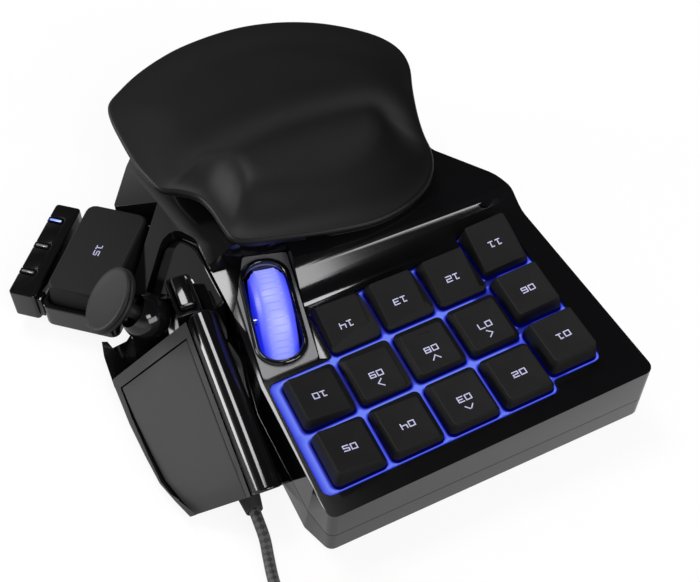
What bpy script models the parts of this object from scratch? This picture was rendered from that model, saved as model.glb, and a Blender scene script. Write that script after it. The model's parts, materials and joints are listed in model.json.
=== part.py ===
"""A left-handed gaming keypad: fourteen keys in a sunk, lit well, a scroll wheel, a thumb pod with a
stick, a button and a wide key, a padded palm rest and a braided cable.

The user's right is +X, away from the user is +Y, up is +Z, and the part stands on Z = 0.
Plan places are counted from the middle of key 05, which is the far right key of the grid.
"""
import math

import bmesh
import bpy
from mathutils import Matrix, Vector

for old in list(bpy.data.objects):
    bpy.data.objects.remove(old, do_unlink=True)

# Where key 05 stands from the middle of the footprint
grid_x = 0.01171
grid_y = 0.07855

# Clearances and walls
fit_gap = 0.0003
running_gap = 0.0004
wall = 0.0022
cut_over = 0.002
edge_round = 0.0012

# Heights
foot_stand = 0.0010
floor_thick = 0.0014
split_height = 0.0105
deck_height = 0.0239
deck_side_fall_share = 0.0367
deck_far_fall_share = 0.0227
deck_thick = 0.0024
palm_rise = 0.0080
palm_rise_length = 0.0160
palm_deck_drop = 0.0050

# Key grid
key_pitch_x = 0.01905
key_pitch_y = 0.0207
cap_top_x = 0.0153
cap_top_y = 0.0158
cap_skirt = 0.0009
cap_skirt_y = 0.0005
cap_height = 0.0043
cap_wall = 0.0013
cap_roof = 0.0016
cap_corner = 0.0022
cap_edge = 0.0006
cap_stand = 0.0035
key_travel = 0.0032
stem_width = 0.0056
stem_clear = 0.0096
pinky_shift_x = 0.0012
pinky_shift_y = 0.0042
column_rises = (0.0013, -0.0007, 0.0, 0.0003, 0.0031)
column_rolls = (10.5, 3.3, 0.0, -1.7, -4.3)
row_rises = (0.0015, 0.0, -0.0004)
row_tilts = (0.5, -2.7, -20.0)

# Well and borders of the deck
well_margin = 0.0008
well_margin_right = 0.0045
well_margin_near = 0.0030
well_margin_wheel = 0.0040
well_corner = 0.0030
side_border = 0.0018
far_border = 0.0067
left_border = 0.0119
deck_corner = 0.0030
foot_draft = 0.0010
foot_flare = 0.0036
flare_end = 0.0045
rise_margin = 0.0022
shoulder_in = 0.0047
shoulder_margin = 0.0112
shoulder_corner = 0.0060
waist_in = 0.0140
waist_back = 0.0250
tail_corner = 0.0140
tail_half = 0.0280
tail_in = 0.0140
tail_reach = 0.0150
wing_back = 0.0040
pod_wall = 0.0065
pod_depth = 0.0140
pod_end = 0.0095
pod_left = 0.0118
pod_half = 0.0160
body_top = 0.0600

# Slope of the case down to the thumb controls
wing_edge_x = 0.0262
wing_edge_top = 0.0200
wing_slope_share = 0.6
wing_slope_far = -0.0600

# Lit plate, dome sheet and board under the keys
plate_drop = 0.0056
plate_thick = 0.0016
guide_wall = 0.0011
guide_drop = 0.0028
board_stand = 0.0012
board_thick = 0.0014
sheet_thick = 0.0008
dome_height = 0.0022
dome_top_radius = 0.0022
dome_foot_radius = 0.0040

# Scroll wheel
wheel_x = 0.0003
wheel_y = -0.0572
wheel_under_deck = 0.0019
wheel_z = deck_height - wheel_under_deck
wheel_radius = 0.0160
wheel_width = 0.0112
wheel_crown = 0.0006
wheel_shoulder = 0.0022
wheel_turn = 12.0
axle_radius = 0.0013
axle_length = 0.0174
post_thick = 0.0018
post_width = 0.0070
wheel_side_gap = 0.0009
ring_length = 0.0420
ring_across = 0.0173
ring_width = 0.0019
ring_rise = 0.0012
bezel_rise = 0.0006
bezel_thick = 0.0010
notch_width = 0.0090
notch_length = 0.0184

# Thumb housing
housing_length = 0.0655
housing_turn = 4.5
housing_reach = 0.0322
housing_low = 0.0027
housing_x = 0.0265
housing_y = -0.0010
slope_step = 0.0044
ridge_width = 0.0098
ridge_near_top = 0.0286
ridge_far_top = 0.0222
ridge_depth = 0.0088
lean_length = 0.0105
panel_thick = 0.0016
panel_start_share = 0.065
panel_end_share = 0.93
bore_room = 0.0002
panel_near_margin = 0.0056
skirt_height = 0.0030

# Thumb stick, from the near end of the housing and out from its ridge
stick_back = 0.01048
stick_out = 0.01601
stick_z = 0.0190
stick_length = 0.0155
stick_disc_radius = 0.0114
stick_disc_thick = 0.0032
stick_post_radius = 0.0024
stick_ball_radius = 0.0036
gimbal_width = 0.0016
gimbal_thick = 0.0018
socket_radius = 0.0080
socket_wall = 0.0014
socket_foot_radius = 0.0062
socket_mouth = 0.0058
stick_axis_shares = (0.70, -0.25, 0.67)

# Thumb button
button_length = 0.0128
button_width = 0.0050
button_top = 0.0282
button_height = 0.0054
button_travel = 0.0012
button_start = 0.0020
button_out = 0.0026
frame_wall = 0.0013
frame_top = 0.0256

# Bridge between the case and the thumb controls
web_top = 0.0245
web_slope_share = 0.62
web_room = 0.0010
web_start = 0.0025
web_end = 0.0030

# Thumb key, its tray and the status lights, from the same two
wing_from_housing = 0.04157
wing_out = 0.02377
wing_turn = 48.8
thumb_cap_length = 0.0372
thumb_cap_width = 0.0214
thumb_cap_top = 0.0214
thumb_cap_height = 0.0084
thumb_cap_skirt = 0.0010
thumb_key_travel = 0.0030
thumb_cap_corner = 0.0030
tray_wall = 0.0012
tray_end_wall = 0.0020
tray_low = 0.0040
tray_rim = 0.0138
tray_floor = 0.0016
thumb_stem_width = 0.0080
strip_length = 0.0405
strip_width = 0.0092
strip_gap = 0.0016
strip_shift = 0.0013
strip_top = 0.0172
strip_low = 0.0052
slot_length = 0.0054
slot_width = 0.0021
slot_pitch = 0.0117
slot_depth = 0.0024
link_length = 0.0040
link_inset = 0.0020
link_top = 0.0140
collar_top = 0.0120
collar_wall = 0.0012
thumb_stem_low = 0.0089

# Palm rest
palm_x = -0.0320
palm_y = -0.1160
palm_width = 0.1120
palm_length = 0.1150
palm_over_rail = 0.0024
palm_near_drop = 0.0057
palm_lip = 0.0038
palm_crown = 0.0078
palm_swell = 0.0022
crown_edge_share = 2.6
palm_travel = 0.0150
crest_y = -0.1008
crest_x = -0.0300
crest_bow = 0.0065
crest_bow_half = 0.0360
crest_spread = 0.0270
crest_near_spread = 0.0170
rail_stand = 0.0049
rail_foot_thick = 0.0016
rail_neck_height = 0.0036
rail_head_thick = 0.0018
rail_foot_width = 0.0300
rail_neck_width = 0.0120
rail_head_width = 0.0220
rail_far = -0.0800
rail_near = -0.1250

rail_low = deck_height + palm_rise + rail_stand
rail_foot_top = rail_low + rail_foot_thick
rail_head_low = rail_foot_top + rail_neck_height
rail_top = rail_head_low + rail_head_thick
palm_far_height = rail_top + palm_over_rail
palm_near_height = palm_far_height - palm_near_drop

# Feet and screws
foot_radius = 0.0050
foot_seat = 0.0006
screw_head_radius = 0.0026
screw_head_thick = 0.0012
screw_shank_radius = 0.0012
screw_length = 0.0150
boss_radius = 0.0034
head_recess = 0.0003
stand_radius = 0.0024

# Cable
cord_radius = 0.0018
cord_turn_pitch = 0.00415
cord_layer_pitch = 0.00415
coil_inner_radius = 0.0138
layer_turns = (3.5, 3.5, 3.5, 3.0)
climb_turns = 0.5
climb_bulge = 0.0013
coil_loop_points = 24
coil_lift = 0.0013
coil_right = 0.0355
coil_away = 0.0760
tie_thick = 0.0009
tie_width = 0.0040
cord_height = 0.0070
cord_out = 0.0045
cord_start = 0.0195
relief_start = 0.0160
relief_end = 0.0030
relief_radius = 0.0034
relief_tip_radius = 0.0027
plug_length = 0.0240
plug_width = 0.0140
plug_height = 0.0078
plug_round = 0.0024
shell_length = 0.0120
shell_width = 0.0120
shell_height = 0.0045
shell_wall = 0.0004
tongue_height = 0.0018
tongue_width = 0.0104
tongue_length = 0.0096

# Faces round a full turn, and in one rounded corner
round_steps = 32
corner_steps = 4

# Half the angle between two sides from which a corner counts as straight
straight_angle = math.radians(88.5)
straight_share = 0.12


def material(name, colour, roughness, metallic=0.0):
    made = bpy.data.materials.new(name)
    made.use_nodes = True
    shader = made.node_tree.nodes["Principled BSDF"]
    shader.inputs["Base Color"].default_value = (*colour, 1.0)
    shader.inputs["Roughness"].default_value = roughness
    shader.inputs["Metallic"].default_value = metallic
    return made


gloss_black = material("gloss_black", (0.012, 0.012, 0.013), 0.08)
satin_black = material("satin_black", (0.022, 0.022, 0.023), 0.38)
soft_black = material("soft_black", (0.020, 0.020, 0.021), 0.62)
key_black = material("key_black", (0.030, 0.030, 0.031), 0.48)
lit_blue = material("lit_blue", (0.22, 0.28, 0.95), 0.35)
lens_grey = material("lens_grey", (0.22, 0.22, 0.24), 0.30)
board_green = material("board_green", (0.02, 0.10, 0.05), 0.55)
sheet_grey = material("sheet_grey", (0.55, 0.56, 0.58), 0.60)
rubber_black = material("rubber_black", (0.016, 0.016, 0.016), 0.85)
braid_black = material("braid_black", (0.030, 0.030, 0.031), 0.75)
steel = material("steel", (0.56, 0.56, 0.58), 0.30, 1.0)


def place(name, mesh_maker, made_of, smooth_angle=35.0):
    """Turns a bmesh into a named object with its faces outwards."""
    bmesh.ops.recalc_face_normals(mesh_maker, faces=mesh_maker.faces)
    mesh = bpy.data.meshes.new(name)
    mesh_maker.to_mesh(mesh)
    mesh_maker.free()
    mesh.materials.append(made_of)
    mesh.shade_smooth()
    mesh.set_sharp_from_angle(angle=math.radians(smooth_angle))
    thing = bpy.data.objects.new(name, mesh)
    bpy.context.scene.collection.objects.link(thing)
    return thing


def cutter(name, mesh_maker):
    thing = place(name, mesh_maker, satin_black)
    thing.hide_render = True
    thing.display_type = "WIRE"
    return thing


def combine(thing, other, operation="DIFFERENCE"):
    step = thing.modifiers.new(other.name, "BOOLEAN")
    step.operation = operation
    step.solver = "EXACT"
    step.object = other


def soften(thing, width=edge_round, segments=2, angle=40.0):
    step = thing.modifiers.new("rounded_edges", "BEVEL")
    step.width = width
    step.segments = segments
    step.limit_method = "ANGLE"
    step.angle_limit = math.radians(angle)
    step.harden_normals = False


def loft(rings, closed=False):
    """Joins rings of equal length by quads, and caps the first and last unless the loft is closed."""
    made = bmesh.new()
    rows = [[made.verts.new(point) for point in ring] for ring in rings]
    count = len(rows[0])
    pairs = list(zip(rows, rows[1:])) + ([(rows[-1], rows[0])] if closed else [])
    for low, high in pairs:
        for index in range(count):
            after = (index + 1) % count
            made.faces.new((low[index], low[after], high[after], high[index]))
    if not closed:
        made.faces.new(rows[0])
        made.faces.new(rows[-1])
    return made


def prism(outline, low, high):
    return loft([[(x, y, low) for x, y in outline], [(x, y, high) for x, y in outline]])


def turned(profile, steps=round_steps):
    """Turns a closed profile of (radius, height) points round Z."""
    rings = []
    for step in range(steps):
        angle = math.tau * step / steps
        rings.append([(r * math.cos(angle), r * math.sin(angle), z) for r, z in profile])
    made = loft(rings, closed=True)
    bmesh.ops.remove_doubles(made, verts=made.verts, dist=fit_gap / 100)
    loose = [edge for edge in made.edges if not edge.link_faces]
    bmesh.ops.delete(made, geom=loose, context="EDGES")
    return made


def disc_prism(radius, low, high, steps=round_steps):
    ring = [(radius * math.cos(math.tau * i / steps), radius * math.sin(math.tau * i / steps))
            for i in range(steps)]
    return prism(ring, low, high)


def block(size_x, size_y, low, high, corner=0.0, steps=corner_steps):
    half_x, half_y = size_x / 2, size_y / 2
    corners = [(half_x, half_y), (-half_x, half_y), (-half_x, -half_y), (half_x, -half_y)]
    if corner:
        corners = rounded(corners, [corner] * len(corners), steps)
    return prism(corners, low, high)


def rounded(corners, radii, steps=corner_steps):
    """Rounds each corner of a plan outline with an arc of its own radius."""
    points = []
    for index, corner in enumerate(corners):
        here = Vector(corner)
        before = Vector(corners[index - 1]) - here
        after = Vector(corners[(index + 1) % len(corners)]) - here
        half = before.angle(after) / 2
        if half > straight_angle:
            start = here + before.normalized() * radii[index] * straight_share
            end = here + after.normalized() * radii[index] * straight_share
            points.extend(tuple(start.lerp(end, step / steps)) for step in range(steps + 1))
            continue
        reach = min(radii[index] / math.tan(half), before.length / 2, after.length / 2)
        radius = reach * math.tan(half)
        middle = here + (before.normalized() + after.normalized()).normalized() * (radius / math.sin(half))
        start = here + before.normalized() * reach - middle
        end = here + after.normalized() * reach - middle
        for step in range(steps + 1):
            share = step / steps
            arm = start.slerp(end, share).normalized() * radius
            points.append(tuple(middle + arm))
    return points


def inset(corners, distance):
    """Moves each side of a counter-clockwise outline inwards by one distance."""
    moved = []
    for index, corner in enumerate(corners):
        here = Vector(corner)
        into = (here - Vector(corners[index - 1])).normalized()
        out = (Vector(corners[(index + 1) % len(corners)]) - here).normalized()
        left_in = Vector((-into.y, into.x))
        left_out = Vector((-out.y, out.x))
        miter = left_in + left_out
        moved.append(tuple(here + miter * (distance * 2 / miter.length_squared)))
    return moved


def smooth_share(value):
    held = min(max(value, 0.0), 1.0)
    return held * held * (3 - 2 * held)


def moved(thing, x=0.0, y=0.0, z=0.0, turn=0.0):
    thing.location = (x, y, z)
    thing.rotation_euler = (0.0, 0.0, math.radians(turn))
    return thing


def plan(points):
    """Moves plan points that are counted from key 05 to the part's own frame."""
    return [(grid_x + x, grid_y + y) for x, y in points]


def level_ring(outline, z):
    return [(x, y, z) for x, y in outline]


def joined(makers):
    """Puts several bmeshes into one, as a group of separate bodies for a cutter."""
    whole = bmesh.new()
    for maker in makers:
        mesh = bpy.data.meshes.new("piece")
        maker.to_mesh(mesh)
        maker.free()
        whole.from_mesh(mesh)
        bpy.data.meshes.remove(mesh)
    return whole


def shifted(maker, matrix):
    bmesh.ops.transform(maker, matrix=matrix, verts=maker.verts)
    return maker


# Places worked out from the key grid

cap_half_x = cap_top_x / 2 + cap_skirt
cap_half_y = cap_top_y / 2 + cap_skirt_y
well_far = cap_half_y + well_margin
well_right = cap_half_x + well_margin_right
well_left = -4 * key_pitch_x + pinky_shift_x - cap_half_x - well_margin
well_near = -2 * key_pitch_y - cap_half_y - well_margin_near
well_step_x = -7 * key_pitch_x / 2 + pinky_shift_x / 2
wheel_well_near = -key_pitch_y - cap_half_y - well_margin_wheel
wheel_well_x = -key_pitch_x / 2
deck_right = well_right + side_border
deck_far = well_far + far_border
deck_left = well_left - left_border
palm_left = palm_x - palm_width / 2
palm_near = palm_y - palm_length / 2
shoulder_x = deck_left + shoulder_in
shoulder_y = well_near - shoulder_margin
floor_top = foot_stand + floor_thick
tray_half_length = thumb_cap_length / 2 + thumb_cap_skirt + running_gap + tray_end_wall
tray_half_width = thumb_cap_width / 2 + thumb_cap_skirt + running_gap + tray_wall
pod_wall_line = -tray_half_width - pod_wall


def deck_z(x, y):
    """Height of the deck plane over a place that is counted from key 05."""
    return deck_height - deck_side_fall_share * x - deck_far_fall_share * y


def housing_place(back, out):
    """A plan place counted back along the thumb housing from its far end, and outwards from its ridge."""
    turn = math.radians(housing_turn)
    return (housing_x - back * math.sin(turn) + out * math.cos(turn),
            housing_y - back * math.cos(turn) - out * math.sin(turn))


stick_x, stick_y = housing_place(housing_length + stick_back, stick_out)
wing_x, wing_y = housing_place(housing_length + wing_from_housing, wing_out)


def wing_place(along, across):
    """A plan place counted along and across the wing, from the middle of the thumb key."""
    turn = math.radians(wing_turn)
    return (wing_x + along * math.cos(turn) + across * math.sin(turn),
            wing_y + along * math.sin(turn) - across * math.cos(turn))


# The body's corners, far right first and then anticlockwise: place at the deck, step out at the foot,
# step towards the user at the foot, and rounding
body_corners = [
    ((deck_right, deck_far), 0.0, foot_draft, deck_corner),
    ((deck_left, deck_far), -foot_draft, foot_draft, deck_corner),
    ((shoulder_x, shoulder_y), -foot_draft, 0.0, shoulder_corner),
    ((palm_left + waist_in, shoulder_y - waist_back), 0.0, 0.0, shoulder_corner),
    ((palm_left + waist_in, palm_y - waist_back), 0.0, 0.0, tail_corner),
    ((palm_x - tail_half, palm_near + tail_in), 0.0, 0.0, tail_corner),
    ((palm_x + tail_half, palm_near + tail_in), 0.0, 0.0, tail_corner),
    (wing_place(-tray_half_length - tail_reach, wing_back), 0.0, 0.0, edge_round),
    (wing_place(-tray_half_length - fit_gap, wing_back), 0.0, 0.0, edge_round),
    (wing_place(-tray_half_length - fit_gap, -tray_half_width - fit_gap), 0.0, 0.0, fit_gap),
    (wing_place(pod_end, -tray_half_width - fit_gap), 0.0, 0.0, edge_round),
    (wing_place(pod_end, pod_wall_line), 0.0, 0.0, edge_round),
    (wing_place(-pod_depth, pod_wall_line), 0.0, 0.0, shoulder_corner),
    ((pod_left, stick_y - pod_half), 0.0, 0.0, tail_corner),
    ((pod_left, stick_y + pod_half), 0.0, 0.0, shoulder_corner),
    ((deck_right, wheel_well_near), foot_flare, 0.0, shoulder_corner),
    ((deck_right, flare_end), foot_flare, 0.0, deck_corner),
]


def body_outline(z, distance=0.0):
    """The body's outline at a height, moved in from its outer face by a distance."""
    share = min(max((z - foot_stand) / (deck_height - foot_stand), 0.0), 1.0)
    corners = [(x + out * (1 - share), y - near * (1 - share)) for (x, y), out, near, _ in body_corners]
    radii = [corner[3] for corner in body_corners]
    return plan(rounded(inset(corners, distance), radii))


def body_loft(heights, distance=0.0):
    return loft([level_ring(body_outline(z, distance), z) for z in heights])


def surface_z(x, y):
    """Height of the deck with its rise under the palm rest and its fall towards the near end."""
    rise = palm_rise * smooth_share((well_near - rise_margin - y) / palm_rise_length)
    fall = palm_deck_drop * min(max((palm_y - y) / (palm_y - palm_near), 0.0), 1.0)
    return deck_z(x, y) + rise - fall


def height_body(name, lower):
    """A long body whose top is the deck surface, moved down by a distance."""
    reach = palm_width + palm_length
    steps = 8
    places = [reach] + [well_near - rise_margin - palm_rise_length * step / steps for step in range(steps + 1)]
    places += [palm_y, palm_near, -reach]
    rings = []
    for x in (-reach, reach):
        ring = [(grid_x + x, grid_y - reach, -wall), (grid_x + x, grid_y + reach, -wall)]
        rings.append(ring + [(grid_x + x, grid_y + y, surface_z(x, y) - lower) for y in places])
    return cutter(name, loft(rings))


def wing_slope(name, lower):
    """Everything over the slope that falls towards the thumb controls, from a distance under it."""
    reach = palm_width
    rings = []
    for y in (wing_slope_far, -2 * palm_length):
        low_x, high_x = wing_edge_x + reach, wing_edge_x - reach
        ring = [(low_x, wing_edge_top - wing_slope_share * reach), (high_x, wing_edge_top + wing_slope_share * reach)]
        rings.append([(grid_x + x, grid_y + y, z - lower) for x, z in ring]
                     + [(grid_x + low_x, grid_y + y, wing_edge_top + wing_slope_share * reach + body_top)])
    return cutter(name, loft(rings))


def well_outline(distance):
    """The key opening, with its step at the little finger's keys and a bay left out for the wheel."""
    corners = [
        (well_right, well_far), (well_step_x, well_far), (well_step_x, well_far - pinky_shift_y),
        (well_left, well_far - pinky_shift_y), (well_left, well_near - pinky_shift_y),
        (well_step_x, well_near - pinky_shift_y), (well_step_x, well_near),
        (wheel_well_x, well_near), (wheel_well_x, wheel_well_near), (well_right, wheel_well_near),
    ]
    radii = [well_corner, edge_round, edge_round, well_corner, well_corner, edge_round, edge_round,
             well_corner, edge_round, well_corner]
    return plan(rounded(inset(corners, distance), radii, 3))


# Foot curve of the thumb housing, as shares of its length and reach
foot_curve_shares = [(0.179, 0.714), (0.267, 0.804), (0.386, 0.888), (0.675, 0.966), (0.889, 1.0),
                     (1.156, 1.009)]
skirt_shares = [(0.98, 0.75), (1.137, 0.866), (1.235, 0.93), (1.245, 0.985), (1.156, 1.009), (0.98, 1.005)]
ridge_half = ridge_width / 2


def foot_out(back):
    """How far the foot of the thumb housing stands out, at a distance back from its far end."""
    share = back / housing_length
    for (low_share, low_out), (high_share, high_out) in zip(foot_curve_shares, foot_curve_shares[1:]):
        if share <= high_share:
            mix = max(share - low_share, 0.0) / (high_share - low_share)
            return housing_reach * (low_out + (high_out - low_out) * mix)
    return housing_reach * foot_curve_shares[-1][1]


def ridge_top(share):
    return ridge_far_top + (ridge_near_top - ridge_far_top) * share


def housing_ring(share, section):
    """Places a section of (out, height) points across the housing, whose far end leans over its foot."""
    ring = []
    for out, z in section:
        lean = lean_length * (1 - (z - housing_low) / (ridge_top(share) - housing_low)) * (1 - share)
        x, y = housing_place(housing_length * share + lean, out)
        ring.append((grid_x + x, grid_y + y, z))
    return ring


def slope_section(share, start, end, depth_low, depth_high):
    """A four-sided section along the outer slope, between two shares of it and two depths under it."""
    top = (ridge_half + fit_gap, ridge_top(share) - slope_step)
    back = housing_length * share + lean_length * (1 - share)
    low = (foot_out(back), housing_low + skirt_height * share)
    run = Vector((low[0] - top[0], low[1] - top[1]))
    into = Vector((run.y, -run.x)).normalized()
    head = Vector(top) + run * start
    tail = Vector(top) + run * end
    return [tuple(head + into * depth_low), tuple(tail + into * depth_low),
            tuple(tail + into * depth_high), tuple(head + into * depth_high)]


housing_shares = (0.0, 0.12, 0.26, 0.45, 0.7, 1.0)


def deck_ring(outline, drop):
    """A ring that follows the slope of the deck, a set drop below it."""
    return [(x, y, deck_z(x - grid_x, y - grid_y) - drop) for x, y in outline]


def place_block(middle, size_x, size_y, low, high, turn, corner=0.0):
    """A block in the part's frame, turned about Z round its own middle."""
    matrix = Matrix.Translation((grid_x + middle[0], grid_y + middle[1], 0.0))
    matrix = matrix @ Matrix.Rotation(math.radians(turn), 4, "Z")
    return shifted(block(size_x, size_y, low, high, corner), matrix)


def wing_block(along, across, size_along, size_across, low, high, corner=0.0):
    return place_block(wing_place(along, across), size_along, size_across, low, high, wing_turn, corner)


def column_at(middle, radius, low, high, steps=round_steps):
    return shifted(disc_prism(radius, low, high, steps),
                   Matrix.Translation((grid_x + middle[0], grid_y + middle[1], 0.0)))


# Places of the keys: column from the right, row from the far side
key_numbers = {(0, 0): 5, (0, 1): 10}
key_numbers.update({(column, row): 5 * row + 5 - column for column in range(1, 5) for row in range(3)})
screw_places = [(well_left - left_border / 2 + cap_skirt, 0.0), (well_left + boss_radius, well_near - left_border),
                (palm_x - tail_half + tail_in / 2, palm_y - waist_back), (palm_x + tail_half - tail_in / 2,
                                                                         palm_y - waist_back)]
foot_places = [(0.0, 0.0), (-4 * key_pitch_x, 0.0), (-4 * key_pitch_x, well_near), (palm_x - tail_half / 2,
               palm_near + tail_in * 1.6), (palm_x + tail_half / 2, palm_near + tail_in * 1.6),
               housing_place(housing_length * 0.6, housing_reach * 0.6)]


def key_centre(column, row):
    shift_x = pinky_shift_x if column == 4 else 0.0
    shift_y = pinky_shift_y if column == 4 else 0.0
    return (-column * key_pitch_x + shift_x, -row * key_pitch_y - shift_y)


# Lower shell: walls, floor, seats for feet and screws

floor_corners = [(0.0, well_near / 6), (0.0, stick_y - pod_half), wing_place(-pod_depth, pod_wall_line),
                 wing_place(tray_half_length - edge_round, -tray_half_width - wall)]
floor_corners += [housing_place(housing_length * share, housing_reach * reach_share)
                  for share, reach_share in ((1.22, 0.93), (1.156, 0.97), (0.889, 0.96), (0.675, 0.93),
                                             (0.386, 0.85), (0.267, 0.77), (0.2, 0.68), (0.175, -0.12))]

base_shell = place("base_shell", body_loft([foot_stand, split_height - fit_gap]), satin_black)
base_cavity = cutter("base_cavity", body_loft([floor_top, split_height + cut_over], wall))
thumb_floor = cutter("thumb_floor", prism(plan(floor_corners), foot_stand, floor_top))
base_bosses = cutter("base_bosses", joined(
    [column_at(spot, boss_radius, foot_stand + foot_seat, split_height - fit_gap) for spot in screw_places]))
board_posts = cutter("board_posts", joined(
    [column_at((x, y), stand_radius, foot_stand + foot_seat, floor_top + board_stand - fit_gap)
     for x in (-key_pitch_x / 2, -7 * key_pitch_x / 2) for y in (-key_pitch_y / 2, -3 * key_pitch_y / 2)]))
head_low = foot_stand + head_recess
head_high = head_low + screw_head_thick
head_seats = cutter("head_seats", joined(
    [column_at(spot, screw_head_radius + fit_gap, -cut_over, head_high + fit_gap) for spot in screw_places]))
shank_holes = cutter("shank_holes", joined(
    [column_at(spot, screw_shank_radius + fit_gap, floor_top, head_high + screw_length + fit_gap, 16)
     for spot in screw_places]))
foot_seats = cutter("foot_seats", joined(
    [column_at(spot, foot_radius + fit_gap, -cut_over, foot_stand + foot_seat) for spot in foot_places]))
combine(base_shell, base_cavity)
combine(base_shell, thumb_floor, "UNION")
combine(base_shell, base_bosses, "UNION")
combine(base_shell, board_posts, "UNION")
combine(base_shell, head_seats)
combine(base_shell, shank_holes)
combine(base_shell, foot_seats)

for number, spot in enumerate(foot_places, start=1):
    foot = place(f"foot_{number}", disc_prism(foot_radius, 0.0, foot_stand + foot_seat - fit_gap), rubber_black)
    moved(foot, grid_x + spot[0], grid_y + spot[1])
for number, spot in enumerate(screw_places, start=1):
    profile = [(0.0, 0.0), (screw_head_radius, 0.0), (screw_head_radius, screw_head_thick),
               (screw_shank_radius, screw_head_thick), (screw_shank_radius, screw_head_thick + screw_length),
               (0.0, screw_head_thick + screw_length)]
    screw = place(f"screw_{number}", turned(profile, 16), steel)
    moved(screw, grid_x + spot[0], grid_y + spot[1], head_low)

# Upper shell: deck, sunk well with its wall, flat part for the wheel

bezel_corners = [(0.0132, -0.0350), (-0.0055, -0.0350), (-0.0135, -0.0770), (0.0005, -0.0815), (0.0084, -0.0670)]
flat_far = well_near - rise_margin + guide_wall / 2
flat_corners = [(well_right * 2, flat_far), (bezel_corners[1][0] - cap_height, flat_far),
                (bezel_corners[2][0] - fit_gap, bezel_corners[2][1] - fit_gap),
                (bezel_corners[3][0], bezel_corners[3][1] - fit_gap), (well_right * 2, bezel_corners[3][1])]
wheel_spot = (grid_x + wheel_x, grid_y + wheel_y)

top_shell = place("top_shell", body_loft([split_height, deck_height, body_top]), gloss_black)
top_cavity = cutter("top_cavity", body_loft(
    [split_height - cut_over, deck_height, body_top + cut_over], wall))
combine(top_cavity, height_body("deck_under", deck_thick), "INTERSECT")
flat_under = cutter("flat_under", loft([deck_ring(plan(inset(flat_corners, -wall)), deck_thick + 2 * fit_gap),
                                        level_ring(plan(inset(flat_corners, -wall)), body_top + cut_over)]))
combine(top_cavity, flat_under)
combine(top_cavity, wing_slope("wing_under", deck_thick))
well_wall = cutter("well_wall", loft([
    deck_ring(well_outline(-guide_wall), plate_drop + plate_thick), deck_ring(well_outline(-guide_wall), edge_round)]))
top_bosses = cutter("top_bosses", joined(
    [column_at(spot, boss_radius, split_height, surface_z(*spot) - deck_thick / 2) for spot in screw_places]))
well_cut = cutter("well_cut", prism(well_outline(0.0), split_height - cut_over, body_top))
flat_cut = cutter("flat_cut", loft([deck_ring(plan(flat_corners), fit_gap), level_ring(plan(flat_corners), body_top)]))
bezel_seat = cutter("bezel_seat", loft([
    deck_ring(plan(inset(bezel_corners, -fit_gap)), bezel_thick - bezel_rise + fit_gap),
    level_ring(plan(inset(bezel_corners, -fit_gap)), body_top)]))


def wheel_block(size_across, size_along, low, high, corner=0.0):
    return place_block((wheel_x, wheel_y), size_across, size_along, low, high, -wheel_turn, corner)



def oval(length, across):
    """A long rounded outline, placed and turned as the wheel is."""
    turn = math.radians(-wheel_turn)
    corners = [(across / 2, length / 2), (-across / 2, length / 2), (-across / 2, -length / 2),
               (across / 2, -length / 2)]
    points = rounded(corners, [across / 2 - fit_gap] * len(corners), 2 * corner_steps)
    return [(wheel_spot[0] + x * math.cos(turn) - y * math.sin(turn),
             wheel_spot[1] + x * math.sin(turn) + y * math.cos(turn)) for x, y in points]


wheel_cut = cutter("wheel_cut", prism(
    oval(ring_length - 2 * ring_width + 2 * fit_gap, ring_across - 2 * ring_width + 2 * fit_gap),
    split_height, body_top))
axle_notch = cutter("axle_notch", wheel_block(
    notch_length, notch_width, wheel_z - axle_radius - edge_round, body_top))
combine(top_shell, height_body("deck_surface", 0.0), "INTERSECT")
combine(top_shell, wing_slope("wing_over", 0.0))
combine(top_shell, top_cavity)
combine(top_shell, well_wall, "UNION")
combine(top_shell, top_bosses, "UNION")
for cut in (well_cut, flat_cut, bezel_seat, wheel_cut, axle_notch, shank_holes):
    combine(top_shell, cut)

# Scroll wheel with its surround, axle and cradle

wheel_bezel = place("wheel_bezel", loft([
    deck_ring(plan(rounded(bezel_corners, [edge_round] * len(bezel_corners))), bezel_thick - bezel_rise),
    deck_ring(plan(rounded(bezel_corners, [edge_round] * len(bezel_corners))), -bezel_rise)]), gloss_black)
combine(wheel_bezel, wheel_cut)


def oval_ring(step_in, rise):
    return deck_ring(oval(ring_length - 2 * step_in, ring_across - 2 * step_in), -bezel_rise - fit_gap - rise)


wheel_ring = place("wheel_ring", loft([
    oval_ring(0.0, 0.0), oval_ring(0.0, ring_rise / 2), oval_ring(ring_width / 3, ring_rise),
    oval_ring(2 * ring_width / 3, ring_rise), oval_ring(ring_width, ring_rise / 2),
    oval_ring(ring_width, 0.0)], closed=True), gloss_black, 60.0)

half_wheel = wheel_width / 2
bore_radius = axle_radius + fit_gap
wheel_profile = [
    (bore_radius, -half_wheel), (wheel_radius - wheel_shoulder, -half_wheel),
    (wheel_radius - wheel_crown, wheel_shoulder / 2 - half_wheel), (wheel_radius, 0.0),
    (wheel_radius - wheel_crown, half_wheel - wheel_shoulder / 2), (wheel_radius - wheel_shoulder, half_wheel),
    (bore_radius, half_wheel),
]
scroll_wheel = place("scroll_wheel", turned(wheel_profile, 48), lit_blue)
wheel_axle = place("wheel_axle", disc_prism(axle_radius, -axle_length / 2, axle_length / 2, 20), steel)
for thing in (scroll_wheel, wheel_axle):
    thing.location = (*wheel_spot, wheel_z)
    thing.rotation_euler = (0.0, math.radians(90.0), math.radians(-wheel_turn))

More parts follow.
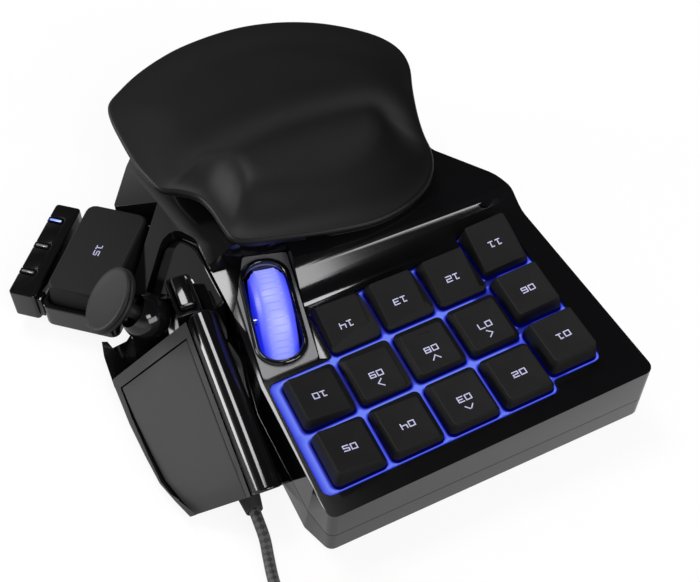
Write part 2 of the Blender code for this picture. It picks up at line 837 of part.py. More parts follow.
cradle_width = wheel_width + 2 * (wheel_side_gap + post_thick)
cradle_low = floor_top + fit_gap
cradle_top = wheel_z + bore_radius + cap_edge
wheel_cradle = place("wheel_cradle", wheel_block(cradle_width, post_width, cradle_low, cradle_top), satin_black)
wheel_pocket = cutter("wheel_pocket", wheel_block(
    wheel_width + 2 * wheel_side_gap, post_width + cut_over, cradle_low + post_thick, cradle_top + cut_over))
axle_bore = cutter("axle_bore", disc_prism(bore_radius, -axle_length, axle_length, 20))
axle_bore.location = scroll_wheel.location
axle_bore.rotation_euler = scroll_wheel.rotation_euler
combine(wheel_cradle, wheel_pocket)
combine(wheel_cradle, axle_bore)

# Lit plate with its guides, dome sheet and board

hole_width = stem_width + 2 * running_gap
guide_width = hole_width + 2 * guide_wall
grid_keys = sorted(key_numbers, key=lambda spot: key_numbers[spot])
light_plate = place("light_plate", loft([
    deck_ring(well_outline(fit_gap), plate_drop + plate_thick), deck_ring(well_outline(fit_gap), plate_drop)]), lit_blue)


def guides(width, over, under):
    """One square column at each key, between two heights round the plate."""
    made = []
    for spot in grid_keys:
        x, y = key_centre(*spot)
        z = deck_z(x, y) - plate_drop
        made.append(place_block((x, y), width, width, z - under, z + over, 0.0))
    return joined(made)


combine(light_plate, cutter("guide_tubes", guides(guide_width, -plate_thick / 2, plate_thick + guide_drop)), "UNION")
combine(light_plate, cutter("guide_holes", guides(hole_width, cut_over, plate_thick + guide_drop + cut_over)))

board_low = floor_top + board_stand
sheet_low = board_low + board_thick + fit_gap
sheet_top = sheet_low + sheet_thick
main_board = place("main_board", prism(well_outline(wall), board_low, board_low + board_thick), board_green)
dome_sheet = place("dome_sheet", prism(well_outline(wall), sheet_low, sheet_top), sheet_grey)
domes = []
for spot in grid_keys:
    x, y = key_centre(*spot)
    rings = []
    for radius, z in ((dome_foot_radius, sheet_top - sheet_thick / 2), (dome_foot_radius, sheet_top),
                      (dome_top_radius, sheet_top + dome_height)):
        rings.append([(grid_x + x + radius * math.cos(math.tau * step / 12),
                       grid_y + y + radius * math.sin(math.tau * step / 12), z) for step in range(12)])
    domes.append(loft(rings))
combine(dome_sheet, cutter("domes", joined(domes)), "UNION")

# Keycaps: one closed loft each, from the foot of the stem round the skirt to the tilted top


def cap_body(half_x, half_y, top_half_x, top_half_y, height, stem_half, stem_drop, corner, slope_x, slope_y):
    """A hollow cap with a square stem, with its top face's middle at Z = 0."""
    def ring(reach_x, reach_y, level, tilt, round_to):
        corners = [(reach_x, reach_y), (-reach_x, reach_y), (-reach_x, -reach_y), (reach_x, -reach_y)]
        return [(x, y, max(level + tilt * (x * slope_x + y * slope_y), cap_edge - height if tilt else level))
                for x, y in rounded(corners, [round_to] * 4, 3)]
    return loft([
        ring(stem_half, stem_half, -stem_drop, 0.0, cap_edge),
        ring(stem_half, stem_half, -cap_roof, 1.0, cap_edge),
        ring(top_half_x - cap_wall, top_half_y - cap_wall, -cap_roof, 1.0, corner - cap_edge),
        ring(half_x - cap_wall, half_y - cap_wall, -height, 0.0, corner - cap_edge),
        ring(half_x, half_y, -height, 0.0, corner),
        ring(top_half_x + cap_edge / 2, top_half_y + cap_edge / 2, -cap_edge, 1.0, corner),
        ring(top_half_x - cap_edge / 2, top_half_y - cap_edge / 2, 0.0, 1.0, corner),
    ])


stem_low = floor_top + stem_clear
for spot in grid_keys:
    column, row = spot
    x, y = key_centre(column, row)
    top = deck_z(x, y) + cap_stand + column_rises[column] + row_rises[row]
    slope_x = math.tan(math.radians(column_rolls[column]))
    slope_y = math.tan(math.radians(row_tilts[row]))
    cap = cap_body(cap_half_x, cap_half_y, cap_top_x / 2, cap_top_y / 2, cap_height, stem_width / 2,
                   top - stem_low, cap_corner, slope_x, slope_y)
    key = place(f"key_{key_numbers[spot]:02d}", cap, key_black, 50.0)
    moved(key, grid_x + x, grid_y + y, top)

# Thumb housing with its ridge trim and side panel

housing_sections = []
ridge_sections = []
for share in housing_shares:
    top = ridge_top(share)
    foot = foot_out(housing_length * share + lean_length * (1 - share))
    seat = top - ridge_depth - fit_gap
    housing_sections.append(housing_ring(share, [
        (-ridge_half, housing_low), (-ridge_half, seat), (ridge_half + fit_gap, seat),
        (ridge_half + fit_gap, top - slope_step), (foot, housing_low + skirt_height), (foot, housing_low)]))
    arc = [(ridge_half * math.cos(math.pi * step / 8), top - ridge_half + ridge_half * math.sin(math.pi * step / 8))
           for step in range(9)]
    ridge_sections.append(housing_ring(share, arc + [(-ridge_half, top - ridge_depth), (ridge_half, top - ridge_depth)]))
thumb_housing = place("thumb_housing", loft(housing_sections), gloss_black)
lip = cutter("housing_lip", prism(plan([housing_place(housing_length * s, housing_reach * t) for s, t in skirt_shares]),
                                  housing_low, housing_low + skirt_height))
combine(thumb_housing, lip, "UNION")
ridge_trim = place("ridge_trim", loft(ridge_sections), gloss_black, 50.0)

panel_shares = [share for share in housing_shares if share < 1.0] + [1.0 - panel_near_margin / housing_length]


def slope_loft(start, end, depth_low, depth_high, room_share):
    shares = [panel_shares[0] - room_share] + panel_shares[1:-1] + [panel_shares[-1] + room_share]
    return loft([housing_ring(share, slope_section(share, start, end, depth_low, depth_high)) for share in shares])


panel_edge = fit_gap / housing_reach
side_panel = place("side_panel", slope_loft(panel_start_share, panel_end_share, 0.0, panel_thick, 0.0), gloss_black)
panel_seat = cutter("panel_seat", slope_loft(
    panel_start_share - panel_edge, panel_end_share + panel_edge, -cut_over, panel_thick + fit_gap, fit_gap / housing_length))

# Thumb stick: a ball and disc in a ring, in a cup that leans outwards

stick_axis = Vector(stick_axis_shares).normalized()
stick_side = Vector((-stick_axis.y, stick_axis.x, 0.0)).normalized()
stick_cross = stick_axis.cross(stick_side)
stick_pivot = Vector((grid_x + stick_x, grid_y + stick_y, stick_z))
stick_turn = Matrix((stick_side, stick_cross, stick_axis)).transposed().to_4x4()
stick_place = Matrix.Translation(stick_pivot) @ stick_turn


def arc_profile(radius, start, end, steps):
    """Points of (radius, height) on a ball, between two angles from its lowest point."""
    return [(radius * math.sin(math.radians(start + (end - start) * step / steps)),
             -radius * math.cos(math.radians(start + (end - start) * step / steps))) for step in range(steps + 1)]


disc_low = stick_length - stick_disc_thick / 2
disc_top = stick_length + stick_disc_thick / 2
ball_end = 180.0 - math.degrees(math.asin(stick_post_radius / stick_ball_radius))
stick_profile = arc_profile(stick_ball_radius, 0.0, ball_end, 8)
stick_profile += [(stick_post_radius, disc_low - edge_round), (stick_ball_radius, disc_low),
                  (stick_disc_radius - edge_round, disc_low), (stick_disc_radius, disc_low + edge_round),
                  (stick_disc_radius, disc_top - edge_round), (stick_disc_radius - edge_round, disc_top),
                  (0.0, disc_top - edge_round / 2)]
stick_cap = place("stick_cap", turned(stick_profile), soft_black, 50.0)
stick_cap.matrix_world = stick_place

ring_inner = stick_ball_radius + running_gap
ring_outer = ring_inner + gimbal_width
gimbal_ring = place("gimbal_ring", turned([
    (ring_inner, -gimbal_thick / 2), (ring_outer, -gimbal_thick / 2), (ring_outer, gimbal_thick / 2),
    (ring_inner, gimbal_thick / 2)]), steel)
gimbal_ring.matrix_world = stick_place

stick_socket = place("stick_socket", turned(arc_profile(socket_radius, 0.0, 180.0, 14)), satin_black)
stick_socket.matrix_world = stick_place
socket_column = cutter("socket_column", disc_prism(socket_foot_radius, floor_top + fit_gap - stick_z, 0.0))
socket_column.location = stick_pivot
socket_room = cutter("socket_room", turned(arc_profile(socket_radius - socket_wall, 0.0, 180.0, 14)))
socket_room.matrix_world = stick_place
socket_top = cutter("socket_top", disc_prism(socket_mouth, 0.0, stick_length))
socket_top.matrix_world = stick_place
combine(stick_socket, socket_column, "UNION")
combine(stick_socket, socket_room)
combine(stick_socket, socket_top)

# Thumb button in its frame

button_middle = housing_place(housing_length + button_start + frame_wall + button_length / 2,
                              button_out + running_gap)
frame_length = button_length + 2 * (running_gap + frame_wall)
frame_width = button_width + 2 * (running_gap + frame_wall)
pocket_low = button_top - button_height - button_travel - running_gap
thumb_button = place("thumb_button", block(
    button_width, button_length, -button_height, 0.0, button_width / 4), gloss_black)
moved(thumb_button, grid_x + button_middle[0], grid_y + button_middle[1], button_top, -housing_turn)
soften(thumb_button, cap_edge)
button_frame = place("button_frame", place_block(
    button_middle, frame_width, frame_length, floor_top + fit_gap, frame_top, -housing_turn, edge_round), gloss_black)
button_pocket = cutter("button_pocket", place_block(
    button_middle, button_width + 2 * running_gap, button_length + 2 * running_gap, pocket_low,
    frame_top + cut_over, -housing_turn, button_width / 4 + running_gap))
combine(button_frame, button_pocket)

# Bridge of the thumb pod, from the case's wall down to the stick and the button

web_button_x = button_middle[0] - frame_width / 2 - web_room
web_far_y = housing_place(housing_length + web_start, 0.0)[1]
web_near_y = button_middle[1] - frame_length / 2 - web_room
web_corners = [
    (web_button_x, web_far_y), (pod_left - web_room, web_far_y),
    (pod_left - web_room, stick_y - pod_half - web_room), wing_place(-pod_depth - web_room, pod_wall_line + web_room),
    wing_place(pod_end - web_end, pod_wall_line + web_room), (web_button_x + frame_width, web_near_y),
    (web_button_x, web_near_y)]
web_plan = rounded(web_corners, [edge_round] * len(web_corners), 2)
pod_web = place("pod_web", loft([
    level_ring(plan(web_plan), floor_top + fit_gap),
    [(grid_x + x, grid_y + y, web_top - web_slope_share * (x - pod_left)) for x, y in web_plan]]), gloss_black)
combine(pod_web, cutter("case_room", body_loft([-cut_over, deck_height, body_top], -fit_gap)))

# Thumb key in its tray, with the strip of status lights beside it

thumb_tray = place("thumb_tray", wing_block(
    0.0, 0.0, 2 * tray_half_length, 2 * tray_half_width, tray_low, tray_rim, thumb_cap_corner), gloss_black)
tray_pocket = cutter("tray_pocket", wing_block(
    0.0, 0.0, 2 * (tray_half_length - tray_end_wall), 2 * (tray_half_width - tray_wall), tray_low + tray_floor,
    tray_rim + cut_over, thumb_cap_corner))
collar_half = thumb_stem_width / 2 + running_gap + collar_wall
stem_collar = cutter("stem_collar", wing_block(
    0.0, 0.0, 2 * collar_half, 2 * collar_half, tray_low + tray_floor / 2, collar_top))
stem_hole = cutter("stem_hole", wing_block(
    0.0, 0.0, thumb_stem_width + 2 * running_gap, thumb_stem_width + 2 * running_gap, tray_low + tray_floor,
    tray_rim + cut_over))
combine(thumb_tray, tray_pocket)
combine(thumb_tray, stem_collar, "UNION")
combine(thumb_tray, stem_hole)

thumb_cap = cap_body(thumb_cap_length / 2 + thumb_cap_skirt, thumb_cap_width / 2 + thumb_cap_skirt,
                     thumb_cap_length / 2, thumb_cap_width / 2, thumb_cap_height, thumb_stem_width / 2,
                     thumb_cap_top - thumb_stem_low, thumb_cap_corner, 0.0, 0.0)
thumb_key = place("key_15", thumb_cap, key_black, 50.0)
moved(thumb_key, grid_x + wing_x, grid_y + wing_y, thumb_cap_top, wing_turn)

strip_out = tray_half_width + strip_gap + strip_width / 2
strip_face = strip_out + strip_width / 2
light_strip = place("light_strip", wing_block(
    strip_shift, strip_out, strip_length, strip_width, strip_low, strip_top, edge_round), gloss_black)
strip_link = cutter("strip_link", wing_block(
    tray_half_length - link_inset - link_length / 2, tray_half_width + fit_gap + strip_gap, link_length,
    2 * strip_gap, strip_low, link_top))
combine(light_strip, strip_link, "UNION")
slot_spots = [-slot_pitch, 0.0, slot_pitch]


def slot_block(along, room, low, high):
    across = strip_face - slot_length / 2 + (cut_over / 2 if room else 0.0)
    length = slot_length + (cut_over if room else 0.0)
    return wing_block(along, across - room / 2, slot_width + 2 * room, length + room, low, high)


combine(light_strip, cutter("strip_slots", joined([
    slot_block(along, fit_gap, strip_top - slot_depth - fit_gap, strip_top + cut_over) for along in slot_spots])))
for number, along in enumerate(slot_spots, start=1):
    place(f"light_pipe_{number}", slot_block(along, 0.0, strip_top - slot_depth, strip_top),
          lit_blue if number == 1 else lens_grey)

# Palm rest on its rail

palm_corners = [
    (0.0194, -0.1545), (0.0130, -0.1600), (0.0055, -0.1648), (-0.0040, -0.1690), (-0.0140, -0.1718),
    (-0.0270, -0.1730), (-0.0390, -0.1722), (-0.0500, -0.1692), (-0.0590, -0.1650), (-0.0670, -0.1597),
    (-0.0750, -0.1522), (-0.0818, -0.1433), (-0.0850, -0.1340), (-0.0840, -0.1240), (-0.0790, -0.1120),
    (-0.0745, -0.1000), (-0.0716, -0.0900), (-0.0699, -0.0815), (-0.0665, -0.0740), (-0.0600, -0.0672),
    (-0.0500, -0.0626), (-0.0380, -0.0612), (-0.0240, -0.0638), (-0.0100, -0.0680), (0.0010, -0.0719),
    (0.0052, -0.0755), (0.0061, -0.0820), (0.0066, -0.0905), (0.0084, -0.0975), (0.0130, -0.1026),
    (0.0180, -0.1066), (0.0200, -0.1140), (0.0213, -0.1230), (0.0216, -0.1350), (0.0213, -0.1470),
]


def smooth_line(points, steps, closed):
    """Points along a smooth curve through the given ones."""
    count = len(points)
    found = []
    for index in range(count if closed else count - 1):
        if closed:
            around = [Vector(points[(index + step) % count]) for step in (-1, 0, 1, 2)]
        else:
            around = [Vector(points[min(max(index + step, 0), count - 1)]) for step in (-1, 0, 1, 2)]
        before, here, after, beyond = around
        for step in range(steps):
            share = step / steps
            pull = here * 2 + (after - before) * share
            pull += (before * 2 - here * 5 + after * 4 - beyond) * share ** 2
            pull += (here * 3 - before - after * 3 + beyond) * share ** 3
            found.append(pull / 2)
    if not closed:
        found.append(Vector(points[-1]))
    return found


def palm_lip_z(y):
    share = (palm_y + palm_length / 2 - y) / palm_length
    return palm_far_height + (palm_near_height - palm_far_height) * share


def palm_ring(share, kind):
    """One ring of the palm rest: its outline drawn in towards the middle, at the height of its kind."""
    ring = []
    for point in smooth_line(palm_corners, 1, True):
        x = palm_x + (point.x - palm_x) * share
        y = palm_y + (point.y - palm_y) * share
        past = y - crest_y - crest_bow * ((x - crest_x) / crest_bow_half) ** 2
        edge = smooth_share((1.0 - share) * crown_edge_share)
        crest = palm_crown * math.exp(-(past / (crest_spread if past > 0.0 else crest_near_spread)) ** 2) + palm_swell
        z = palm_lip_z(y) + {"under": -palm_lip, "side": -palm_lip / 3, "top": crest * edge}[kind]
        ring.append((grid_x + x, grid_y + y, z))
    return ring


palm_rest = place("palm_rest", loft(
    [palm_ring(share, "under") for share in (0.03, 0.95)] + [palm_ring(1.0, "side")]
    + [palm_ring(share, "top") for share in (0.985, 0.95, 0.88, 0.79, 0.68, 0.55, 0.4, 0.25, 0.1)]), soft_black, 60.0)


def rail_block(width, low, high, far, near, room=0.0):
    return shifted(block(width + 2 * room, far - near + 2 * room, low - room, high + room),
                   Matrix.Translation((grid_x + palm_x, grid_y + (far + near) / 2, 0.0)))


palm_rail = place("palm_rail", rail_block(rail_foot_width, rail_low, rail_foot_top, rail_far, rail_near), satin_black)
rail_neck = cutter("rail_neck", rail_block(
    rail_neck_width, rail_foot_top - edge_round, rail_head_low + edge_round, rail_far, rail_near))
rail_head = cutter("rail_head", rail_block(rail_head_width, rail_head_low, rail_top, rail_far, rail_near))
neck_slot = cutter("neck_slot", rail_block(
    rail_neck_width, rail_foot_top, rail_head_low + edge_round, rail_far + palm_travel, rail_near, running_gap))
head_slot = cutter("head_slot", rail_block(
    rail_head_width, rail_head_low, rail_top, rail_far + palm_travel, rail_near, running_gap))
combine(palm_rail, rail_neck, "UNION")
combine(palm_rail, rail_head, "UNION")
combine(palm_rest, neck_slot)
combine(palm_rest, head_slot)

# Cable: strain relief, free stretch, tied coil and plug


def along_cord(profile, made_of, name):
    """A tube round the cable where it leaves the housing, from (distance back, radius) points."""
    made = place(name, turned([(radius, -back) for back, radius in profile]), made_of)
    spot = housing_place(0.0, cord_out)
    made.location = (grid_x + spot[0], grid_y + spot[1], cord_height)
    made.rotation_euler = (math.radians(-90.0), 0.0, math.radians(-housing_turn))
    return made


def at_cord(back):
    spot = housing_place(back, cord_out)
    return (grid_x + spot[0], grid_y + spot[1], cord_height)


relief_bore = cord_radius + bore_room + fit_gap / 3
strain_relief = along_cord([
    (relief_start, relief_bore), (relief_start, relief_radius), (relief_start / 2, relief_radius),
    (relief_end, relief_tip_radius), (relief_end, relief_bore)], rubber_black, "strain_relief")
cord_bore = cutter("cord_bore", disc_prism(relief_radius + fit_gap, -cord_start, cut_over))
cord_bore.location = strain_relief.location
cord_bore.rotation_euler = strain_relief.rotation_euler
combine(thumb_housing, cord_bore)
combine(thumb_housing, panel_seat)

coil_x = grid_x + coil_right - coil_inner_radius - layer_turns[0] * cord_turn_pitch
coil_y = grid_y + coil_away
coil_outer_radius = coil_inner_radius + layer_turns[0] * cord_turn_pitch
coil_low = coil_lift + cord_radius
straight_end = 2 * cord_radius
lead_x = coil_x + coil_outer_radius
lead_points = [at_cord(cord_start - fit_gap), at_cord(relief_start), at_cord(relief_start / 2), at_cord(0.0)]
lead_points += [(grid_x + x, grid_y + y, z) for x, y, z in (
    (0.0314, 0.0045, 0.0050), (0.0325, 0.0095, 0.0027), (0.0338, 0.0155, cord_radius),
    (0.0348, 0.0230, cord_radius), (0.0353, 0.0320, cord_radius))]
lead_points += [(lead_x, grid_y + 0.0480, coil_low - coil_lift / 2), (lead_x, grid_y + 0.0580, coil_low),
                (lead_x, coil_y - straight_end - fit_gap, coil_low)]


def tube(name, points, made_of, sides):
    """A round tube along plain points."""
    curve = bpy.data.curves.new(name, "CURVE")
    curve.dimensions = "3D"
    curve.bevel_depth = cord_radius
    curve.bevel_resolution = sides
    curve.use_fill_caps = True
    line = curve.splines.new("POLY")
    line.points.add(len(points) - 1)
    for point, spot in zip(line.points, points):
        point.co = (*spot, 1.0)
    curve.materials.append(made_of)
    thing = bpy.data.objects.new(name, curve)
    bpy.context.scene.collection.objects.link(thing)
    return thing


cord_lead = tube("cord_lead", smooth_line(lead_points, 5, False), braid_black, 2)


def coil_route():
    """The wound cable: layers that spiral in and out, with a half turn of climb between them."""
    points = [Vector((lead_x, coil_y - straight_end, coil_low))]
    turned_by = 0.0
    radius = coil_outer_radius
    for layer, turns in enumerate(layer_turns):
        level = coil_low + layer * cord_layer_pitch
        inward = layer % 2 == 0
        steps = round(turns * coil_loop_points)
        for step in range(steps + 1):
            gone = turns * step / steps
            radius = coil_outer_radius - cord_turn_pitch * gone if inward else (
                coil_inner_radius + cord_turn_pitch * gone)
            angle = math.tau * (turned_by + gone)
            points.append(Vector((coil_x + radius * math.cos(angle), coil_y + radius * math.sin(angle), level)))
        turned_by += turns
        if layer + 1 < len(layer_turns):
            steps = round(climb_turns * coil_loop_points)
            for step in range(1, steps):
                share = step / steps
                bulge = climb_bulge * math.sin(math.pi * share) * (-1.0 if inward else 1.0)
                angle = math.tau * (turned_by + climb_turns * share)
                reach = radius + bulge
                points.append(Vector((coil_x + reach * math.cos(angle), coil_y + reach * math.sin(angle),
                                      level + cord_layer_pitch * smooth_share(share))))
            turned_by += climb_turns
    return points, radius, coil_low + (len(layer_turns) - 1) * cord_layer_pitch


coil_points, end_radius, end_level = coil_route()
plug_z = plug_height / 2
tail_points = [coil_points[-1]] + [Vector((coil_x + end_radius + x, coil_y + y, z)) for x, y, z in (
    (0.0004, 0.0080, end_level), (0.0024, 0.0160, end_level - cord_radius / 3),
    (0.0052, 0.0240, end_level - cord_layer_pitch), (0.0072, 0.0320, plug_z + cord_layer_pitch),
    (0.0080, 0.0400, plug_z + cord_radius / 3), (0.0082, 0.0460, plug_z), (0.0082, 0.0510, plug_z))]
whole_coil = coil_points + smooth_line(tail_points, 3, False)[1:]
cord_coil = tube("cord_coil", whole_coil, braid_black, 1)
plug_x = tail_points[-1].x
plug_start = tail_points[-1].y + fit_gap


def least_gap(points, apart):
    """Least distance between stretches of the coil that lie further apart along it than a set length."""
    least = 1.0
    lengths = [0.0]
    for here, after in zip(points, points[1:]):
        lengths.append(lengths[-1] + (after - here).length)
    for index, here in enumerate(points):
        for other in range(index + 1, len(points)):
            if lengths[other] - lengths[index] > apart:
                least = min(least, (points[other] - here).length)
    return least - 2 * cord_radius


print(f"cable: {sum((b - a).length for a, b in zip(whole_coil, whole_coil[1:])):.3f} m wound, "
      f"least gap {least_gap(whole_coil, 8 * cord_radius) * 1000:.2f} mm")

tie_in = coil_inner_radius - cord_radius - tie_thick - fit_gap
tie_out = coil_outer_radius + cord_radius + tie_thick + fit_gap
tie_low = coil_lift - tie_thick - fit_gap
tie_high = end_level + cord_radius + fit_gap + tie_thick


def tie_ring(side, step_in):
    low, high = tie_low + step_in, tie_high - step_in
    near, far = tie_in + step_in, tie_out - step_in
    corners = [(far, high), (near, high), (near, low), (far, low)]
    points = rounded(corners, [cord_radius + tie_thick - step_in] * 4, 3)
    return [(coil_x + side * tie_width / 2, coil_y + y, z) for y, z in points]


cable_tie = place("cable_tie", loft([
    tie_ring(-1, 0.0), tie_ring(1, 0.0), tie_ring(1, tie_thick), tie_ring(-1, tie_thick)], closed=True), satin_black)


def plug_block(width, height, start, end, corner):
    """A block along the plug, from one distance beyond the end of the cable to another."""
    half_x, half_z = width / 2, height / 2
    corners = [(half_x, half_z), (-half_x, half_z), (-half_x, -half_z), (half_x, -half_z)]
    if corner:
        corners = rounded(corners, [corner] * 4, 3)
    return loft([[(plug_x + x, plug_start + y, plug_z + z) for x, z in corners] for y in (start, end)])


plug_body = place("plug_body", plug_block(plug_width, plug_height, 0.0, plug_length, plug_round), satin_black)
shell_start = plug_length + fit_gap
shell_end = shell_start + shell_length
plug_shell = place("plug_shell", plug_block(shell_width, shell_height, shell_start, shell_end, 0.0), steel)
shell_room = cutter("shell_room", plug_block(
    shell_width - 2 * shell_wall, shell_height - 2 * shell_wall, shell_start + shell_wall,
    shell_end + cut_over, 0.0))
combine(plug_shell, shell_room)
plug_tongue = place("plug_tongue", plug_block(
    tongue_width, tongue_height, shell_start + shell_wall + fit_gap, shell_start + tongue_length, 0.0), satin_black)
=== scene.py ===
import math
import bmesh
import bpy
from mathutils import Matrix, Vector
from mathutils.geometry import delaunay_2d_cdt
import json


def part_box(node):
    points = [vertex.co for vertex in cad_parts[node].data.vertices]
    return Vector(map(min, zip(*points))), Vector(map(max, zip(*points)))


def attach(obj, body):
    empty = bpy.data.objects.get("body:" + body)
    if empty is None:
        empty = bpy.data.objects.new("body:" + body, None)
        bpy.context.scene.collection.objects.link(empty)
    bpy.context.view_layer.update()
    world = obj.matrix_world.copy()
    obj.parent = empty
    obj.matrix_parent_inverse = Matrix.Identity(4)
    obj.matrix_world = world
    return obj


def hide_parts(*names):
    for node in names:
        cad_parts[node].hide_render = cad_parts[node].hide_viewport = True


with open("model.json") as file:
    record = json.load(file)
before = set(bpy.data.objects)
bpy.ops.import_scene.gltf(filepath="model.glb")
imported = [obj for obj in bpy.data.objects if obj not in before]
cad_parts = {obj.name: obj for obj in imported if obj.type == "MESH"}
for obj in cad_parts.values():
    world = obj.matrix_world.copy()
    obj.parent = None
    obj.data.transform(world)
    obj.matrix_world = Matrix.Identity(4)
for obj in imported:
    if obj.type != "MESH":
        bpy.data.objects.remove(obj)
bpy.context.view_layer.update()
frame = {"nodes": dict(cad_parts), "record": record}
nodes = frame["nodes"]
bodyOf = {node: body for body, held in frame["record"]["behaviour"]["bodies"].items() for node in held}
scene = bpy.context.scene
gridX, gridY = 0.01171, 0.07855          # the middle of key 05, which plan places are counted from
weld, flatAngle = 0.000002, 0.6          # metres and degrees within which points and faces become one
tiny = 0.000001                          # keeps a length that is divided by above nothing


def place(x, y, z=0.0):
    return Vector((gridX + x, gridY + y, z))


def standing(at, x, y, z):
    # the matrix that puts a form at a place, with its own axes along x, y and z
    return Matrix.Translation(at) @ Matrix((x, y, z)).transposed().to_4x4()


def setAll(thing, **values):
    for key, value in values.items():
        setattr(thing, key, value)
    return thing


def given(setup, names):
    return [setup[name] for name in names.split()]


def heading(degrees):
    return Vector((math.cos(math.radians(degrees)), math.sin(math.radians(degrees)), 0.0))


def linked(name, data):
    thing = bpy.data.objects.new(name, data)
    scene.collection.objects.link(thing)
    return thing


# Camera, found from the key grid in the photograph; the frame is 700 by 582
cameraSetup = {
    "at": place(0.07793, 0.15730, 0.33617), "right": (-0.89778, 0.44045, 0.0), "up": (-0.35118, -0.71580, 0.60358),
    "back": (0.26585, 0.54188, 0.79730), "lens": 61.714, "sensor": 36.0, "nearest": 0.01, "furthest": 30.0}
scene.camera = linked("photoCamera", setAll(
    bpy.data.cameras.new("photoCamera"), sensor_fit="HORIZONTAL", sensor_width=cameraSetup["sensor"],
    lens=cameraSetup["lens"], clip_start=cameraSetup["nearest"], clip_end=cameraSetup["furthest"]))
scene.camera.matrix_world = standing(*given(cameraSetup, "at right up back"))
print("camera in place")


# Node trees: a new one has named inputs and outputs

def newTree(name, kind, inputs, outputs):
    tree = bpy.data.node_groups.new(name, kind)
    for label, held, value in inputs:
        socket = tree.interface.new_socket(label, in_out="INPUT", socket_type=f"NodeSocket{held}")
        if value is not None:
            socket.default_value = value
    for label, held in outputs:
        tree.interface.new_socket(label, in_out="OUTPUT", socket_type=f"NodeSocket{held}")
    return tree, tree.nodes.new("NodeGroupInput"), tree.nodes.new("NodeGroupOutput")


def addNode(tree, kind, settings=None, **links):
    # a setting goes to the input of that name or number, or else to the node itself
    node = tree.nodes.new(kind if "Node" in kind else tree.bl_idname[:-4] + kind)
    for key, value in (settings or {}).items():
        if isinstance(key, int) or key in node.inputs:
            node.inputs[key].default_value = value
        else:
            setattr(node, key, value)
    for key, socket in links.items():
        tree.links.new(socket, node.inputs[int(key[2:]) if key.startswith("in") else key])
    return node


def addMath(tree, operation, first, second, clamped=False):
    node = addNode(tree, "Math", {"operation": operation, "use_clamp": clamped})
    for socket, given in zip(node.inputs, (first, second)):
        if isinstance(given, float):
            socket.default_value = given
        else:
            tree.links.new(given, socket)
    return node.outputs[0]


def buildGrainGroup():
    # the fine grain of moulded plastic, and a roughness that changes from patch to patch
    group, source, result = newTree("mouldedGrain", "ShaderNodeTree", [
        ("Grain Scale", "Float", 900.0), ("Patch Scale", "Float", 25.0), ("Base Roughness", "Float", 0.3),
        ("Roughness Spread", "Float", 0.05)], [("Height", "Float"), ("Roughness", "Float"), ("Patches", "Float")])
    coords = addNode(group, "TexCoord")
    fine, patch = (addNode(group, "TexNoise", {"Detail": detail, "Roughness": rough},
                           Vector=coords.outputs["Object"], Scale=source.outputs[scale]).outputs["Fac"]
                   for scale, detail, rough in (("Grain Scale", 3.0, 0.6), ("Patch Scale", 4.0, 0.55)))
    spread = addMath(group, "MULTIPLY", addMath(group, "SUBTRACT", patch, 0.5), source.outputs["Roughness Spread"])
    rough = addMath(group, "ADD", spread, source.outputs["Base Roughness"], True)
    for value, label in ((fine, "Height"), (rough, "Roughness"), (patch, "Patches")):
        group.links.new(value, result.inputs[label])
    return group


grainGroup = buildGrainGroup()
# What a finish has unless it says otherwise, and the sockets that its values go to
plainFinish = {"metallic": 0.0, "ior": 1.5, "specular": 0.5, "coat": 0.0, "coatRoughness": 0.05, "sheen": 0.0,
               "grainScale": 900.0, "patchScale": 25.0, "spread": 0.05, "bump": 0.1, "bumpDepth": 0.00005}
shaderSockets = {"metallic": "Metallic", "ior": "IOR", "specular": "Specular IOR Level", "coat": "Coat Weight",
                 "coatRoughness": "Coat Roughness", "sheen": "Sheen Weight"}
grainSockets = {"grainScale": "Grain Scale", "patchScale": "Patch Scale", "roughness": "Base Roughness",
                "spread": "Roughness Spread"}


def plasticMaterial(name, setup):
    made = bpy.data.materials.new(name)
    made.use_nodes = True
    tree = made.node_tree
    shader = tree.nodes["Principled BSDF"]
    grain = addNode(tree, "Group", {"node_tree": grainGroup})
    setup = {**plainFinish, **setup}
    for node, sockets in ((shader, shaderSockets), (grain, grainSockets)):
        for key, label in sockets.items():
            node.inputs[label].default_value = setup[key]
    tint = addNode(tree, "Mix", {"data_type": "RGBA"}, in0=grain.outputs["Patches"])
    tint.inputs[6].default_value = (*setup["colour"], 1.0)
    tint.inputs[7].default_value = (*setup.get("patchColour", setup["colour"]), 1.0)
    bump = addNode(tree, "Bump", {"Strength": setup["bump"], "Distance": setup["bumpDepth"]},
                   Height=grain.outputs["Height"])
    tree.links.new(tint.outputs[2], shader.inputs["Base Color"])
    tree.links.new(grain.outputs["Roughness"], shader.inputs["Roughness"])
    tree.links.new(bump.outputs[0], shader.inputs["Normal"])
    if "shine" in setup:
        shader.inputs["Emission Color"].default_value = (*setup["shine"], 1.0)
        shader.inputs["Emission Strength"].default_value = setup["strength"]
    return made


def glowMaterial(name, setup):
    # pale where the attribute glow is 1, deep where it is 0
    made = plasticMaterial(name, setup)
    tree = made.node_tree
    shader = tree.nodes["Principled BSDF"]
    level = addNode(tree, "Attribute", {"attribute_name": "glow"})
    ramp = addNode(tree, "ValToRGB", in0=level.outputs["Fac"])
    ramp.color_ramp.elements.new(0.5)
    for step, key in zip(ramp.color_ramp.elements, ("deep", "mid", "pale")):
        step.color = (*setup[key], 1.0)
    tree.links.new(ramp.outputs["Color"], shader.inputs["Emission Color"])
    shader.inputs["Emission Strength"].default_value = setup["strength"]
    return made


